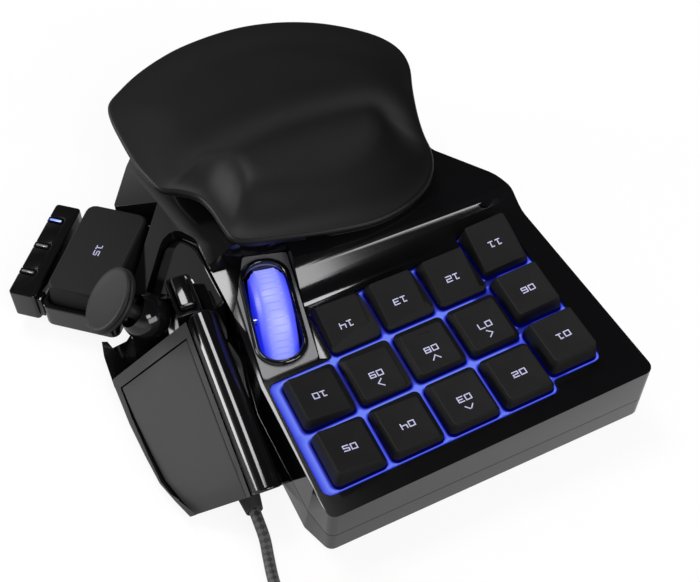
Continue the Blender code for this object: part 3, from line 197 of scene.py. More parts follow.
finishes = {
    "glossBlack": {"colour": (0.003, 0.003, 0.0035), "patchColour": (0.004, 0.004, 0.0045), "roughness": 0.10,
                   "spread": 0.03, "bump": 0.02, "grainScale": 300.0},
    "panelBlack": {"colour": (0.037, 0.037, 0.037), "patchColour": (0.041, 0.041, 0.041), "roughness": 0.62,
                   "spread": 0.04, "bump": 0.20, "grainScale": 2000.0, "specular": 0.25},
    "satinBlack": {"colour": (0.010, 0.010, 0.011), "roughness": 0.38, "spread": 0.06, "bump": 0.15},
    "bezelGrey": {"colour": (0.14, 0.14, 0.144), "patchColour": (0.19, 0.19, 0.194), "roughness": 0.40,
                  "spread": 0.04, "bump": 0.04, "grainScale": 1200.0},
    "keyMatte": {"colour": (0.005, 0.005, 0.005), "patchColour": (0.007, 0.007, 0.007), "roughness": 0.58,
                 "spread": 0.06, "bump": 0.25, "grainScale": 2200.0, "specular": 0.2},
    "palmSoft": {"colour": (0.0014, 0.0014, 0.0016), "patchColour": (0.0022, 0.0022, 0.0024), "roughness": 0.50,
                 "spread": 0.06, "bump": 0.25, "grainScale": 2600.0, "patchScale": 60.0, "specular": 0.24},
    "thumbSoft": {"colour": (0.009, 0.009, 0.010), "roughness": 0.50, "spread": 0.06, "bump": 0.25,
                  "grainScale": 2400.0, "specular": 0.22},
    "rubberBlack": {"colour": (0.016, 0.016, 0.016), "roughness": 0.75, "bump": 0.4},
    "boardGreen": {"colour": (0.02, 0.10, 0.05), "patchColour": (0.03, 0.13, 0.06), "roughness": 0.5},
    "sheetGrey": {"colour": (0.50, 0.51, 0.53), "roughness": 0.6},
    "brightSteel": {"colour": (0.56, 0.56, 0.58), "metallic": 1.0, "roughness": 0.28},
    "lensGrey": {"colour": (0.10, 0.10, 0.105), "patchColour": (0.20, 0.20, 0.21), "roughness": 0.22, "coat": 0.8,
                 "patchScale": 700.0},
    "legendInk": {"colour": (0.36, 0.36, 0.50), "roughness": 0.5, "shine": (0.40, 0.40, 0.62), "strength": 0.30},
}
glows = {
    # wellGlow's deep colour is painted shade on the light guide, its pale colour the lit glow
    "wellGlow": {"colour": (0.004, 0.004, 0.02), "roughness": 0.5, "specular": 0.08, "deep": (0.0, 0.0, 0.045),
                 "mid": (0.03, 0.05, 0.66), "pale": (0.15, 0.215, 0.89), "strength": 1.0},
    "wheelGlow": {"colour": (0.05, 0.05, 0.20), "roughness": 0.42, "coat": 0.15, "coatRoughness": 0.3, "bump": 0.05,
                  "deep": (0.01, 0.02, 0.75), "mid": (0.09, 0.12, 1.0), "pale": (0.33, 0.37, 1.0), "strength": 0.95},
    "pipeGlow": {"colour": (0.10, 0.12, 0.40), "roughness": 0.2, "deep": (0.05, 0.09, 0.95), "mid": (0.22, 0.32, 1.0),
                 "pale": (0.75, 0.85, 1.0), "strength": 1.2},
}
skins = {name: plasticMaterial(name, setup) for name, setup in finishes.items()}
skins.update({name: glowMaterial(name, setup) for name, setup in glows.items()})
print("materials made")


# Pieces that keep the solid's shape, with their edges rounded

def keepPiece(thing, body, slotName, *replaced):
    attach(thing, body)
    if replaced:
        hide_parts(*replaced)


def meshFrom(name, maker):
    mesh = bpy.data.meshes.new(name)
    maker.to_mesh(mesh)
    maker.free()
    return mesh


def meshPiece(name, maker, skin, smoothAngle=35.0):
    mesh = meshFrom(name, maker)
    mesh.materials.append(skins[skin])
    mesh.shade_smooth()
    mesh.set_sharp_from_angle(angle=math.radians(smoothAngle))
    return linked(name, mesh)


def plainMesh(thing):
    return bpy.data.meshes.new_from_object(thing.evaluated_get(bpy.context.evaluated_depsgraph_get()))


def nodeCopy(node):
    maker = bmesh.new()
    maker.from_mesh(nodes[node].data)
    bmesh.ops.remove_doubles(maker, verts=maker.verts, dist=weld)
    bmesh.ops.dissolve_limit(maker, angle_limit=math.radians(flatAngle), verts=maker.verts, edges=maker.edges)
    return maker


edgeSetup = {"segments": 3, "smooth": 50.0}


def roundedNode(node, skin, slotName, width, angle=32.0):
    thing = meshPiece(f"{node}_finished", nodeCopy(node), skin, edgeSetup["smooth"])
    setAll(thing.modifiers.new("roundedEdges", "BEVEL"), width=width, segments=edgeSetup["segments"],
           limit_method="ANGLE", angle_limit=math.radians(angle), use_clamp_overlap=True, miter_outer="MITER_ARC")
    keepPiece(thing, bodyOf[node], slotName, node)


def smoothNode(node, skin, slotName, angle=60.0):
    keepPiece(meshPiece(f"{node}_smooth", nodeCopy(node), skin, angle), bodyOf[node], slotName, node)


def sidesOf(items):
    # each item with the one after it, and the last with the first
    return zip(items, items[1:] + items[:1])


def joinRings(maker, low, high):
    for (a, b), (c, d) in zip(sidesOf(low), sidesOf(high)):
        maker.faces.new((a, b, d, c))


def loftRings(rings, end="flat"):
    # rings joined in their order; the last is flat, drawn to a point, or closed back to the first
    maker = bmesh.new()
    rows = [[maker.verts.new(point) for point in ring] for ring in rings]
    for low, high in sidesOf(rows) if end == "closed" else zip(rows, rows[1:]):
        joinRings(maker, low, high)
    last = rows[-1]
    if end == "point":
        tip = maker.verts.new(sum((vertex.co for vertex in last), Vector()) / len(last))
        for here, after in sidesOf(last):
            maker.faces.new((here, after, tip))
    if end != "closed":
        maker.faces.new(rows[0][::-1])
    if end == "flat":
        maker.faces.new(last)
    bmesh.ops.recalc_face_normals(maker, faces=maker.faces)
    return maker


def turnedForm(profile, steps, matrix):
    # a closed profile of (radius, height) points, turned about Z and then placed
    rings = []
    for step in range(steps):
        angle = math.tau * step / steps
        rings.append([matrix @ Vector((r * math.cos(angle), r * math.sin(angle), z)) for r, z in profile])
    maker = loftRings(rings, "closed")
    bmesh.ops.remove_doubles(maker, verts=maker.verts, dist=weld)
    bmesh.ops.delete(maker, geom=[edge for edge in maker.edges if not edge.link_faces], context="EDGES")
    bmesh.ops.recalc_face_normals(maker, faces=maker.faces)
    return maker


def arcPoints(radius, start, end, steps, middle=(0.0, 0.0)):
    found = []
    for step in range(steps + 1):
        angle = math.radians(start + (end - start) * step / steps)
        found.append((middle[0] + radius * math.cos(angle), middle[1] + radius * math.sin(angle)))
    return found


def buildRibsRoundTree():
    # ribs on a ring about Z, each as long as Rib Size says along Z
    tree, source, result = newTree("ribsRoundWheel", "GeometryNodeTree", [
        ("Count", "Int", 36), ("Radius", "Float", 0.0159), ("Rib Size", "Vector", (0.0003, 0.0006, 0.0070)),
        ("Material", "Material", None)], [("Geometry", "Geometry")])
    ring = addNode(tree, "MeshCircle", Vertices=source.outputs["Count"], Radius=source.outputs["Radius"])
    rib = addNode(tree, "MeshCube", Size=source.outputs["Rib Size"])
    spot = addNode(tree, "InputPosition")
    turn = addNode(tree, "FunctionNodeAlignRotationToVector", {"axis": "X"}, Vector=spot.outputs[0])
    placed = addNode(tree, "InstanceOnPoints", Points=ring.outputs[0], Instance=rib.outputs[0],
                     Rotation=turn.outputs[0])
    real = addNode(tree, "RealizeInstances", in0=placed.outputs[0])
    dressed = addNode(tree, "SetMaterial", in0=real.outputs[0], Material=source.outputs["Material"])
    tree.links.new(dressed.outputs[0], result.inputs[0])
    return tree


def plainFromTree(name, tree, values, matrix):
    holder = linked(f"{name}_maker", bpy.data.meshes.new(f"{name}_maker"))
    step = holder.modifiers.new("maker", "NODES")
    step.node_group = tree
    for item in tree.interface.items_tree:
        if item.in_out == "INPUT" and item.name in values:
            step[item.identifier] = values[item.name]
    made = plainMesh(holder)
    bpy.data.objects.remove(holder)
    made.name = name
    made.transform(matrix)
    return linked(name, made)


roundedNodes = {
    "top_shell": ("glossBlack", "gloss_black", 0.0007),
    "base_shell": ("glossBlack", "satin_black", 0.0004),
    "thumb_housing": ("glossBlack", "gloss_black", 0.0006),
    "side_panel": ("panelBlack", "gloss_black", 0.0005),
    "wheel_bezel": ("bezelGrey", "gloss_black", 0.0003),
    "pod_web": ("glossBlack", "gloss_black", 0.0009),
    "thumb_tray": ("glossBlack", "gloss_black", 0.0005),
    "light_strip": ("glossBlack", "gloss_black", 0.0006),
    "button_frame": ("glossBlack", "gloss_black", 0.0004),
    "thumb_button": ("glossBlack", "gloss_black", 0.0005),
}
for node, (skin, slotName, width) in roundedNodes.items():
    roundedNode(node, skin, slotName, width)
# The outer slope of the housing is satin like the panel, the rest of it is gloss
housingMesh, slopeFrom = bpy.data.objects["thumb_housing_finished"].data, 0.35
housingMesh.materials.append(skins["panelBlack"])
for face in housingMesh.polygons:
    if face.normal.x > slopeFrom:
        face.material_index = 1
plainNodes = {
    "satinBlack": ["wheel_cradle", "palm_rail", "cable_tie", "plug_body", "plug_tongue"],
    "brightSteel": ["wheel_axle", "gimbal_ring", "plug_shell"] + [node for node in nodes if node.startswith("screw_")],
    "rubberBlack": ["strain_relief"] + [node for node in nodes if node.startswith("foot_")],
    "boardGreen": ["main_board"], "sheetGrey": ["dome_sheet"], "wellGlow": ["light_plate"],
}
for skin, held in plainNodes.items():
    for slot in (slot for node in held for slot in nodes[node].material_slots):
        slot.material = skins[skin]
smoothNode("wheel_ring", "glossBlack", "gloss_black")
print("shells finished")

# Ridge of the thumb housing: a half round that leans at its far end, closed by rounded caps

ridgeSetup = {"start": (0.0265, -0.0010), "turn": 4.5, "length": 0.0655, "half": 0.0049, "nearTop": 0.0286,
              "farTop": 0.0222, "depth": 0.0088, "lean": 0.0105, "low": 0.0027, "steps": 28, "smooth": 50.0,
              "capShares": ((0.0, 0.80), (0.004, 0.93), (0.012, 1.0), (0.020, 1.0), (0.028, 1.0), (0.972, 1.0),
                            (0.980, 1.0), (0.988, 1.0), (0.996, 0.93), (1.0, 0.80))}


def alongHousing(back, out):
    turn, (x, y) = math.radians(ridgeSetup["turn"]), ridgeSetup["start"]
    return (x - back * math.sin(turn) + out * math.cos(turn), y - back * math.cos(turn) - out * math.sin(turn))


def makeRidge():
    half, depth, farTop, nearTop, low, steps = given(ridgeSetup, "half depth farTop nearTop low steps")
    rings = []
    for share, size in ridgeSetup["capShares"]:
        top = farTop + (nearTop - farTop) * share
        section = [(x * size, top - half + z * size) for x, z in arcPoints(half, 0.0, 180.0, steps)]
        section += [(-half * size, top - depth), (half * size, top - depth)]
        rings.append([])
        for out, z in section:
            lean = ridgeSetup["lean"] * (1 - (z - low) / (top - low)) * (1 - share)
            rings[-1].append(place(*alongHousing(ridgeSetup["length"] * share + lean, out), z))
    ridge = meshPiece("ridge_cover", loftRings(rings), "glossBlack", ridgeSetup["smooth"])
    keepPiece(ridge, "case", "gloss_black", "ridge_trim")


makeRidge()

# Thumb stick: a dished pad on a ball, and its round socket

stickSetup = {"pivot": place(0.0365, -0.0780, 0.0190), "axis": (0.65, -0.22, 0.727), "length": 0.0146,
              "padRadius": 0.0114, "padThick": 0.0032, "dish": 0.0005, "rim": 0.0009, "post": 0.0024,
              "ball": 0.0036, "socket": 0.0080, "socketWall": 0.0014, "mouth": 0.0058, "column": 0.0062,
              "foot": 0.0027, "flare": ((0.0, 0.0012), (0.0006, 0.0004)), "sideInset": 0.0001, "rimCut": 0.35,
              "rimDish": 0.3, "dishPlaces": ((0.5, 1.0), (0.0, 1.1)), "steps": 64, "columnSteps": 48,
              "ballSteps": 16, "wallSteps": 24, "arcSteps": 8, "padSmooth": 50.0, "socketSmooth": 40.0}


def stickMatrix():
    axis = Vector(stickSetup["axis"]).normalized()
    side = Vector((-axis.y, axis.x, 0.0)).normalized()
    return standing(stickSetup["pivot"], side, axis.cross(side), axis)


def makeStick():
    pad, rim, dish, ball, post, steps = given(stickSetup, "padRadius rim dish ball post ballSteps")
    low, high = (stickSetup["length"] + side * stickSetup["padThick"] / 2 for side in (-1, 1))
    turns = [math.pi * step / steps * (1 - math.asin(post / ball) / math.pi) for step in range(steps + 1)]
    profile = [(ball * math.sin(turn), -ball * math.cos(turn)) for turn in turns]
    profile += [(post + wider, low - under) for wider, under in stickSetup["flare"]] + [(ball, low)]
    profile += arcPoints(rim, -90.0, 90.0, stickSetup["arcSteps"], (pad - rim, low + rim))[:-1]
    cut = rim * stickSetup["rimCut"]
    profile += [(pad - stickSetup["sideInset"], high - rim), (pad - cut, high - cut), (pad - rim, high),
                (pad - 2 * rim, high - dish * stickSetup["rimDish"])]
    profile += [(pad * share, high - dish * depth) for share, depth in stickSetup["dishPlaces"]]
    maker = turnedForm(profile, stickSetup["steps"], stickMatrix())
    keepPiece(meshPiece("stick_pad", maker, "thumbSoft", stickSetup["padSmooth"]), "stick", "soft_black", "stick_cap")


def makeSocket():
    outer, wall, mouth, pivot, sleeve = given(stickSetup, "socket socketWall mouth pivot column")
    steps, arcSteps = given(stickSetup, "wallSteps arcSteps")
    inner, middle, foot = outer - wall, outer - wall / 2, stickSetup["foot"] - pivot.z
    outerEnd, innerEnd = (math.degrees(math.acos(mouth / radius)) for radius in (outer, inner))
    profile = arcPoints(outer, -90.0, outerEnd, steps) + arcPoints(inner, innerEnd, -90.0, steps)
    maker = turnedForm(profile, stickSetup["steps"], stickMatrix())
    top = arcPoints(middle, -math.degrees(math.acos(sleeve / middle)), -90.0, arcSteps)
    column = meshFrom("column", turnedForm([(0.0, foot), (sleeve, foot)] + top, stickSetup["columnSteps"],
                                           Matrix.Translation(pivot)))
    maker.from_mesh(column)
    bpy.data.meshes.remove(column)
    socket = meshPiece("socket_cover", maker, "glossBlack", stickSetup["socketSmooth"])
    keepPiece(socket, "case", "satin_black", "stick_socket")


makeStick()
makeSocket()
print("ridge and thumb stick made")

# Keys with their legends

keySetup = {"edge": 0.0006, "edgeAngle": 28.0, "legendHeight": 0.0018, "digitWidth": 0.00175, "gap": 0.00080,
            "stroke": 0.00036, "lift": 0.00003, "thick": 0.00004, "arrowDrop": 0.0034,
            "arrowWing": (0.0013, -0.0006), "arrowTip": 0.0009, "arrowTurns": {3: 0.0, 7: 90.0, 8: 180.0, 9: 270.0},
            "legendShift": 0.0004, "homingKey": 8, "barHalf": 0.0022, "barDrop": -0.0052, "barWidth": 0.0004,
            "barHeight": 0.00035, "barSteps": 6,
            "barEnds": ((-1.0, 0.3), (-0.94, 0.8), (-0.85, 1.0), (0.85, 1.0), (0.94, 0.8), (1.0, 0.3)),
            "thumbTurn": 48.8, "levelAbove": 0.6, "legendSmooth": 30.0, "barSmooth": 50.0}
# Each figure as lines through corners, in a box 2 wide and 4 high
digitLines = {
    "0": [[(0, 0), (2, 0), (2, 4), (0, 4), (0, 0)]],
    "1": [[(0.4, 0), (2, 0)], [(1.2, 0), (1.2, 4)], [(0.2, 4), (1.2, 4)]],
    "2": [[(0, 4), (2, 4), (2, 2), (0, 2), (0, 0), (2, 0)]],
    "3": [[(0, 4), (2, 4), (2, 0), (0, 0)], [(0.4, 2), (2, 2)]],
    "4": [[(0, 4), (0, 1.6), (2, 1.6)], [(2, 4), (2, 0)]],
    "5": [[(2, 4), (0, 4), (0, 2), (2, 2), (2, 0), (0, 0)]],
    "6": [[(2, 4), (0, 4), (0, 0), (2, 0), (2, 2), (0, 2)]],
    "7": [[(0, 4), (2, 4), (2, 0)]],
    "8": [[(0, 0), (2, 0), (2, 4), (0, 4), (0, 0)], [(0, 2), (2, 2)]],
    "9": [[(0, 0), (2, 0), (2, 4), (0, 4), (0, 2), (2, 2)]],
}


def topPlane(node):
    # the largest group of level faces gives the middle and the normal of a piece's top
    groups = {}
    for face in nodes[node].data.polygons:
        if face.normal.z > keySetup["levelAbove"]:
            key = tuple(round(value, 2) for value in face.normal)
            area, middle = groups.get(key, (0.0, Vector()))
            groups[key] = (area + face.area, middle + face.center * face.area)
    key = max(groups, key=lambda item: groups[item][0])
    area, middle = groups[key]
    return middle / area, Vector(key).normalized()


def dishDepth(x, y, dished):
    # how far the top lies under its plane, at a place counted from its middle
    if not dished:
        return 0.0
    left, right, near, far = capSetup["top"]
    wide, long = (right - left) / 2, (far - near) / 2
    return -capSetup["dish"] * max(0.0, 1.0 - (x / wide) ** 2) * max(0.0, 1.0 - (y / long) ** 2)


def addStroke(maker, start, end, matrix, dished):
    start, end = Vector(start), Vector(end)
    along = (end - start).normalized() * keySetup["stroke"] / 2
    side = Vector((-along.y, along.x))
    corners = [start - along - side, end + along - side, end + along + side, start - along + side]
    low = [maker.verts.new(matrix @ Vector((p.x, p.y, dishDepth(p.x, p.y, dished)))) for p in corners]
    high = [maker.verts.new(v.co + matrix.col[2].xyz * keySetup["thick"]) for v in low]
    maker.faces.new(high)
    maker.faces.new(low[::-1])
    joinRings(maker, low, high)


def addLegend(number, middle, normal, turn, dished):
    wide, tall, gap, arrowTurns, wing = given(keySetup, "digitWidth legendHeight gap arrowTurns arrowWing")
    right = heading(turn)
    right = (right - normal * right.dot(normal)).normalized()
    matrix = standing(middle + normal * keySetup["lift"], right, normal.cross(right), normal)
    maker = bmesh.new()
    for spot, figure in enumerate(f"{number:02d}"):
        left = -(2 * wide + gap) / 2 + spot * (wide + gap)
        for line in digitLines[figure]:
            corners = [(left + x * (wide / 2), -tall / 2 + y * (tall / 4)) for x, y in line]
            for start, end in zip(corners, corners[1:]):
                addStroke(maker, start, end, matrix, dished)
    if number in arrowTurns:
        spin, centre = Matrix.Rotation(math.radians(arrowTurns[number]), 2), Vector((0.0, keySetup["arrowDrop"]))
        tip = centre + spin @ Vector((0.0, keySetup["arrowTip"]))
        for side in (-1.0, 1.0):
            addStroke(maker, centre + spin @ Vector((side * wing[0], wing[1])), tip, matrix, dished)
    legend = meshPiece(f"legend_{number:02d}", maker, "legendInk", keySetup["legendSmooth"])
    keepPiece(legend, f"key_{number:02d}", "key_black")


def addHomingBar(number, middle, normal):
    # a low rounded ridge on the user's side of the figures
    half, y, wide, tall, steps = given(keySetup, "barHalf barDrop barWidth barHeight barSteps")
    rings = []
    for x, size in ((half * share, size) for share, size in keySetup["barEnds"]):
        floor = dishDepth(x, y, True) - keySetup["lift"]
        slope = Vector((0.0, 0.0, (x * normal.x + y * normal.y) / normal.z))
        rings.append([middle + Vector((x, y + wide * a * size, 0.0)) + normal * (floor + tall * b * size) - slope
                      for a, b in arcPoints(1.0, 0.0, 180.0, steps)])
    bar = meshPiece(f"homing_bar_{number:02d}", loftRings(rings), "keyMatte", keySetup["barSmooth"])
    keepPiece(bar, f"key_{number:02d}", "key_black")


# Key caps: crisp dished tops on skirts that flare down to the deck, widest on the user's side

capSetup = {"base": (-0.0080, 0.0093, -0.0102, 0.0082), "pinkyRight": 0.0088, "pinkyBeyond": -0.0700,
            "top": (-0.00635, 0.0082, -0.0077, 0.0078), "baseRadius": 0.0019, "topRadius": 0.0009, "cornerSteps": 5,
            "edge": 0.00030, "dish": 0.00030, "lift": 0.0011, "foot": 0.0005, "stem": 0.0028, "stemFoot": 0.0120,
            "skirtShares": (0.5, 1.0), "edgeRings": ((0.3, 0.3), (1.0, 0.0)),
            "topShares": (0.93, 0.85, 0.72, 0.56, 0.38, 0.18), "smooth": 40.0}
deckSetup = {"height": 0.0239, "slopeX": -0.0367, "slopeY": -0.0227}


def deckZ(x, y):
    return deckSetup["height"] + deckSetup["slopeX"] * (x - gridX) + deckSetup["slopeY"] * (y - gridY)


def roundedBox(left, right, near, far, radius, steps):
    found = []
    for x, y, start in ((right - radius, far - radius, 0.0), (left + radius, far - radius, 90.0),
                        (left + radius, near + radius, 180.0), (right - radius, near + radius, 270.0)):
        found += arcPoints(radius, start, start + 90.0, steps, (x, y))
    return [Vector(point) for point in found]


def capBase(number):
    low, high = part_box(f"key_{number:02d}")
    centre = Vector(((low[0] + high[0]) / 2, (low[1] + high[1]) / 2))
    left, right, near, far = capSetup["base"]
    if centre.x - gridX < capSetup["pinkyBeyond"]:
        right = capSetup["pinkyRight"]
    return centre, (left, right, near, far)


def makeCap(number):
    node = f"key_{number:02d}"
    centre, box = capBase(number)
    plane, normal = topPlane(node)
    edge, steps, lift, foot, baseRadius, topRadius = given(capSetup, "edge cornerSteps lift foot baseRadius topRadius")
    left, right, near, far = capSetup["top"]
    base, top = roundedBox(*box, baseRadius, steps), roundedBox(left, right, near, far, topRadius, steps)
    middle, wide, long = Vector(((left + right) / 2, (near + far) / 2)), (right - left) / 2, (far - near) / 2

    def topZ(point):
        return plane.z - ((point.x - plane.x) * normal.x + (point.y - plane.y) * normal.y) / normal.z

    def ringAt(outline, rule):
        return [Vector((*(centre + point), rule(centre + point, point))) for point in outline]

    rings = [ringAt(base, lambda p, q: deckZ(p.x, p.y) + lift),
             ringAt(base, lambda p, q: deckZ(p.x, p.y) + lift + foot)]
    for share in capSetup["skirtShares"]:
        rings.append([low.lerp(Vector((*(centre + point), topZ(centre + point) - edge)), share)
                      for low, point in zip(rings[1], top)])
    for inset, drop in capSetup["edgeRings"]:
        inner = [middle + Vector(((p.x - middle.x) * (1 - inset * edge / wide),
                                  (p.y - middle.y) * (1 - inset * edge / long))) for p in top]
        rings.append(ringAt(inner, lambda p, q: topZ(p) - drop * edge))
    for share in capSetup["topShares"]:
        inner = [middle + (p - middle) * share for p in top]
        rings.append(ringAt(inner, lambda p, q: topZ(p) + dishDepth(q.x - middle.x, q.y - middle.y, True)))
    maker = loftRings(rings)
    half, stemFoot = given(capSetup, "stem stemFoot")
    head = min(vertex.co.z for vertex in maker.verts) + edge
    corners = [centre + Vector((x * half, y * half)) for x, y in ((-1, -1), (1, -1), (1, 1), (-1, 1))]
    feet, heads = ([maker.verts.new((*corner, z)) for corner in corners] for z in (stemFoot, head))
    maker.faces.new(feet[::-1])
    maker.faces.new(heads)
    joinRings(maker, feet, heads)
    keepPiece(meshPiece(f"{node}_cap", maker, "keyMatte", capSetup["smooth"]), node, "key_black", node)
    spot = centre + middle
    return Vector((*spot, topZ(spot))), normal


for number in range(1, 15):
    middle, normal = makeCap(number)
    addLegend(number, middle + Vector((0.0, keySetup["legendShift"], 0.0)), normal, 0.0, True)
    if number == keySetup["homingKey"]:
        addHomingBar(number, middle, normal)
roundedNode("key_15", "keyMatte", "key_black", keySetup["edge"], keySetup["edgeAngle"])
addLegend(15, *topPlane("key_15"), keySetup["thumbTurn"], False)
print("keys and legends made")

# Light guide: ribs of the lit plate that stand in the gaps between the key caps

# the fade, wall and row values set the painted shade on the glow, next to the keys, at the well wall and in the row
# gaps
glowSetup = {"room": 0.00015, "outlines": (0.0, 0.0003, 0.0006, 0.0009, 0.0013), "fadeStart": 0.06, "fadeEnd": 0.34,
             "wallShadeReach": 0.00030, "wallShadeLevel": 0.5, "drop": 0.0004, "plateDrop": 0.0054, "sideStep": 0.0022,
             "rowLevels": (0.60, 0.12, 0.0), "rowPower": 6, "beyondLast": 0.03, "columnReach": 0.0145,
             "cornerRadius": 0.0022, "cornerSteps": 5,
             "well": ((0.0127, 0.0088), (-0.0660, 0.0088), (-0.0660, 0.0046), (-0.0839, 0.0046), (-0.0839, -0.0565),
                      (-0.0660, -0.0565), (-0.0660, -0.0523), (-0.0094, -0.0523), (-0.0094, -0.0329),
                      (0.0127, -0.0329))}


def roundCorners(points, radius, steps):
    found = []
    for index, point in enumerate(points):
        here = Vector(point)
        before = (Vector(points[index - 1]) - here).normalized()
        after = (Vector(points[(index + 1) % len(points)]) - here).normalized()
        for step in range(steps + 1):
            share = step / steps
            found.append(here + before * radius * (1 - share) ** 2 + after * radius * share ** 2)
    return found


def boxReach(point, box, radius):
    # distance outside a box with rounded corners, negative inside it
    left, right, near, far = box
    x = abs(point.x - (left + right) / 2) - (right - left) / 2 + radius
    y = abs(point.y - (near + far) / 2) - (far - near) / 2 + radius
    return math.hypot(max(x, 0.0), max(y, 0.0)) + min(max(x, y), 0.0) - radius


def lineReach(point, outline):
    # distance from a closed line
    least = 1.0
    for start, end in sidesOf(outline):
        along = end - start
        share = min(max((point - start).dot(along) / max(along.length_squared, tiny ** 2), 0.0), 1.0)
        least = min(least, (point - start - along * share).length)
    return least


def insideLine(point, outline):
    crossed = False
    for start, end in sidesOf(outline):
        if (start.y > point.y) != (end.y > point.y):
            if point.x < start.x + (end.x - start.x) * (point.y - start.y) / (end.y - start.y):
                crossed = not crossed
    return crossed


def splitSides(outline, step):
    found = []
    for start, end in sidesOf(outline):
        parts = max(1, round((end - start).length / step))
        found += [start.lerp(end, part / parts) for part in range(parts)]
    return found


def rowShade(point, boxes):
    # painted shade: the gaps between keys of one row dim towards their middle, more so on the user's side, and past the
    # user's row the glow is nearly dark
    reach, levels, power, beyond = given(glowSetup, "columnReach rowLevels rowPower beyondLast")
    for index, (left, right, near, far) in enumerate(boxes):
        row, across = index // 5, point.x - (left + right) / 2
        if abs(across) > reach or (across > 0.0 and right > gridX):
            continue
        if near <= point.y <= far:
            off = abs(point.y - (near + far) / 2) / ((far - near) / 2)
            return levels[row] + (1.0 - levels[row]) * off ** power
        if row == 2 and point.y < near:
            return beyond
    return 1.0


def makeLightGuide():
    well = [Vector((gridX + p.x, gridY + p.y)) for p in
            roundCorners(glowSetup["well"], glowSetup["cornerRadius"], glowSetup["cornerSteps"])]
    boxes = []
    for number in range(1, 15):
        centre, (left, right, near, far) = capBase(number)
        boxes.append((centre.x + left, centre.x + right, centre.y + near, centre.y + far))
    radius, steps = given(capSetup, "baseRadius cornerSteps")
    room, drop, fadeStart, fadeEnd = given(glowSetup, "room drop fadeStart fadeEnd")
    points, edges = [], []

    def addOutline(outline):
        first = len(points)
        points.extend(splitSides(outline, glowSetup["sideStep"]))
        edges.extend(sidesOf(list(range(first, len(points)))))

    addOutline(well)
    for left, right, near, far in boxes:
        for grown in (room + more for more in glowSetup["outlines"]):
            addOutline(roundedBox(left - grown, right + grown, near - grown, far + grown, radius + grown, steps))
    spots, _, faces, _, _, _ = delaunay_2d_cdt(points, edges, [], 0, 0.0000001)

    def keyReach(point):
        return min(boxReach(point, box, radius) for box in boxes) - room

    maker = bmesh.new()
    tops = [maker.verts.new((p.x, p.y, deckZ(p.x, p.y) - drop)) for p in spots]
    for face in faces:
        middle = sum((spots[index] for index in face), Vector((0.0, 0.0))) / len(face)
        if insideLine(middle, well) and keyReach(middle) > 0.0:
            maker.faces.new([tops[index] for index in face])
    bmesh.ops.delete(maker, geom=[v for v in maker.verts if not v.link_faces], context="VERTS")
    for item in bmesh.ops.extrude_face_region(maker, geom=list(maker.faces), use_keep_orig=True)["geom"]:
        if isinstance(item, bmesh.types.BMVert):
            item.co.z = deckZ(item.co.x, item.co.y) - glowSetup["plateDrop"]
    bmesh.ops.recalc_face_normals(maker, faces=maker.faces)

    # painted shade on the glow: deep on the plate's lower part and next to the key skirts, pale in the middle of each
    # channel, half as bright right at the well wall, then dimmed by rowShade
    def level(point):
        if point.z < deckZ(point.x, point.y) - drop - room:
            return 0.0
        flat = Vector((point.x, point.y))
        wall = lineReach(flat, well)
        nearest, second = sorted(boxReach(flat, box, radius) - room for box in boxes)[:2]
        share = nearest / max(nearest + min(second, wall), tiny)
        fade = (share - fadeStart) / (fadeEnd - fadeStart)
        wallShade = min(wall / glowSetup["wallShadeReach"] + glowSetup["wallShadeLevel"], 1.0)
        return min(max(fade, 0.0), 1.0) * wallShade * rowShade(flat, boxes)

    finishGlow(maker, level, "light_guide", "wellGlow", "lit_blue", "case")


def paintGlow(thing, rule):
    layer = thing.data.attributes.new("glow", "FLOAT", "POINT")
    for index, vertex in enumerate(thing.data.vertices):
        layer.data[index].value = rule(vertex.co)


def finishGlow(maker, rule, name, skin, slotName, body, *replaced):
    thing = meshPiece(name, maker, skin)
    paintGlow(thing, rule)
    keepPiece(thing, body, slotName, *replaced)


makeLightGuide()

# Scroll wheel: a crowned drum, brightest in its middle, with fine ribs across it

wheelSetup = {"centre": place(0.0003, -0.0572, 0.0220), "turn": -12.0, "radius": 0.0160, "half": 0.0056,
              "bore": 0.0016, "crown": 0.0006, "shoulder": 0.0022, "edgeDrop": 0.0012, "edgePower": 8,
              "edgeInset": 0.0006, "crownSteps": 8, "steps": 96, "glowPower": 2.2, "ribs": 40,
              "ribSize": (0.0003, 0.0004, 0.0066), "ribSink": 0.00012, "ribGlow": 0.80}


def makeWheel():
    centre, radius, half, bore, steps = given(wheelSetup, "centre radius half bore crownSteps")
    crown, edgeDrop, edgePower, edgeInset = given(wheelSetup, "crown edgeDrop edgePower edgeInset")
    axis, shoulder = heading(wheelSetup["turn"]), radius - wheelSetup["shoulder"]
    side = Vector((0.0, 0.0, 1.0)).cross(axis)
    matrix = standing(centre, side, axis.cross(side), axis)
    profile = [(bore, -half), (shoulder, -half)]
    for share in (step / steps for step in range(-steps, steps + 1)):
        drop = edgeDrop * abs(share) ** edgePower
        profile.append((radius - crown * share ** 2 - drop, share * (half - edgeInset)))
    profile += [(shoulder, half), (bore, half)]

    def level(point):
        return max(0.0, 1.0 - (abs((point - centre).dot(axis)) / half) ** wheelSetup["glowPower"])

    finishGlow(turnedForm(profile, wheelSetup["steps"], matrix), level, "wheel_finished", "wheelGlow", "lit_blue",
               "wheel", "scroll_wheel")
    ribs = plainFromTree("wheel_ribs", buildRibsRoundTree(), {
        "Count": wheelSetup["ribs"], "Radius": radius - wheelSetup["ribSink"], "Rib Size": wheelSetup["ribSize"],
        "Material": skins["wheelGlow"]}, matrix)
    paintGlow(ribs, lambda point: wheelSetup["ribGlow"])
    keepPiece(ribs, "wheel", "lit_blue")


makeWheel()

# Status lights: each block fills its slot in the strip and bears a slim round-ended window

pipeSetup = {"long": 0.40, "slim": 0.20, "rise": 0.00008, "sink": 0.00010, "edge": 0.00006, "corner": 0.98,
             "cornerSteps": 6, "litFrom": 0.25, "litTo": 0.70, "smooth": 40.0}


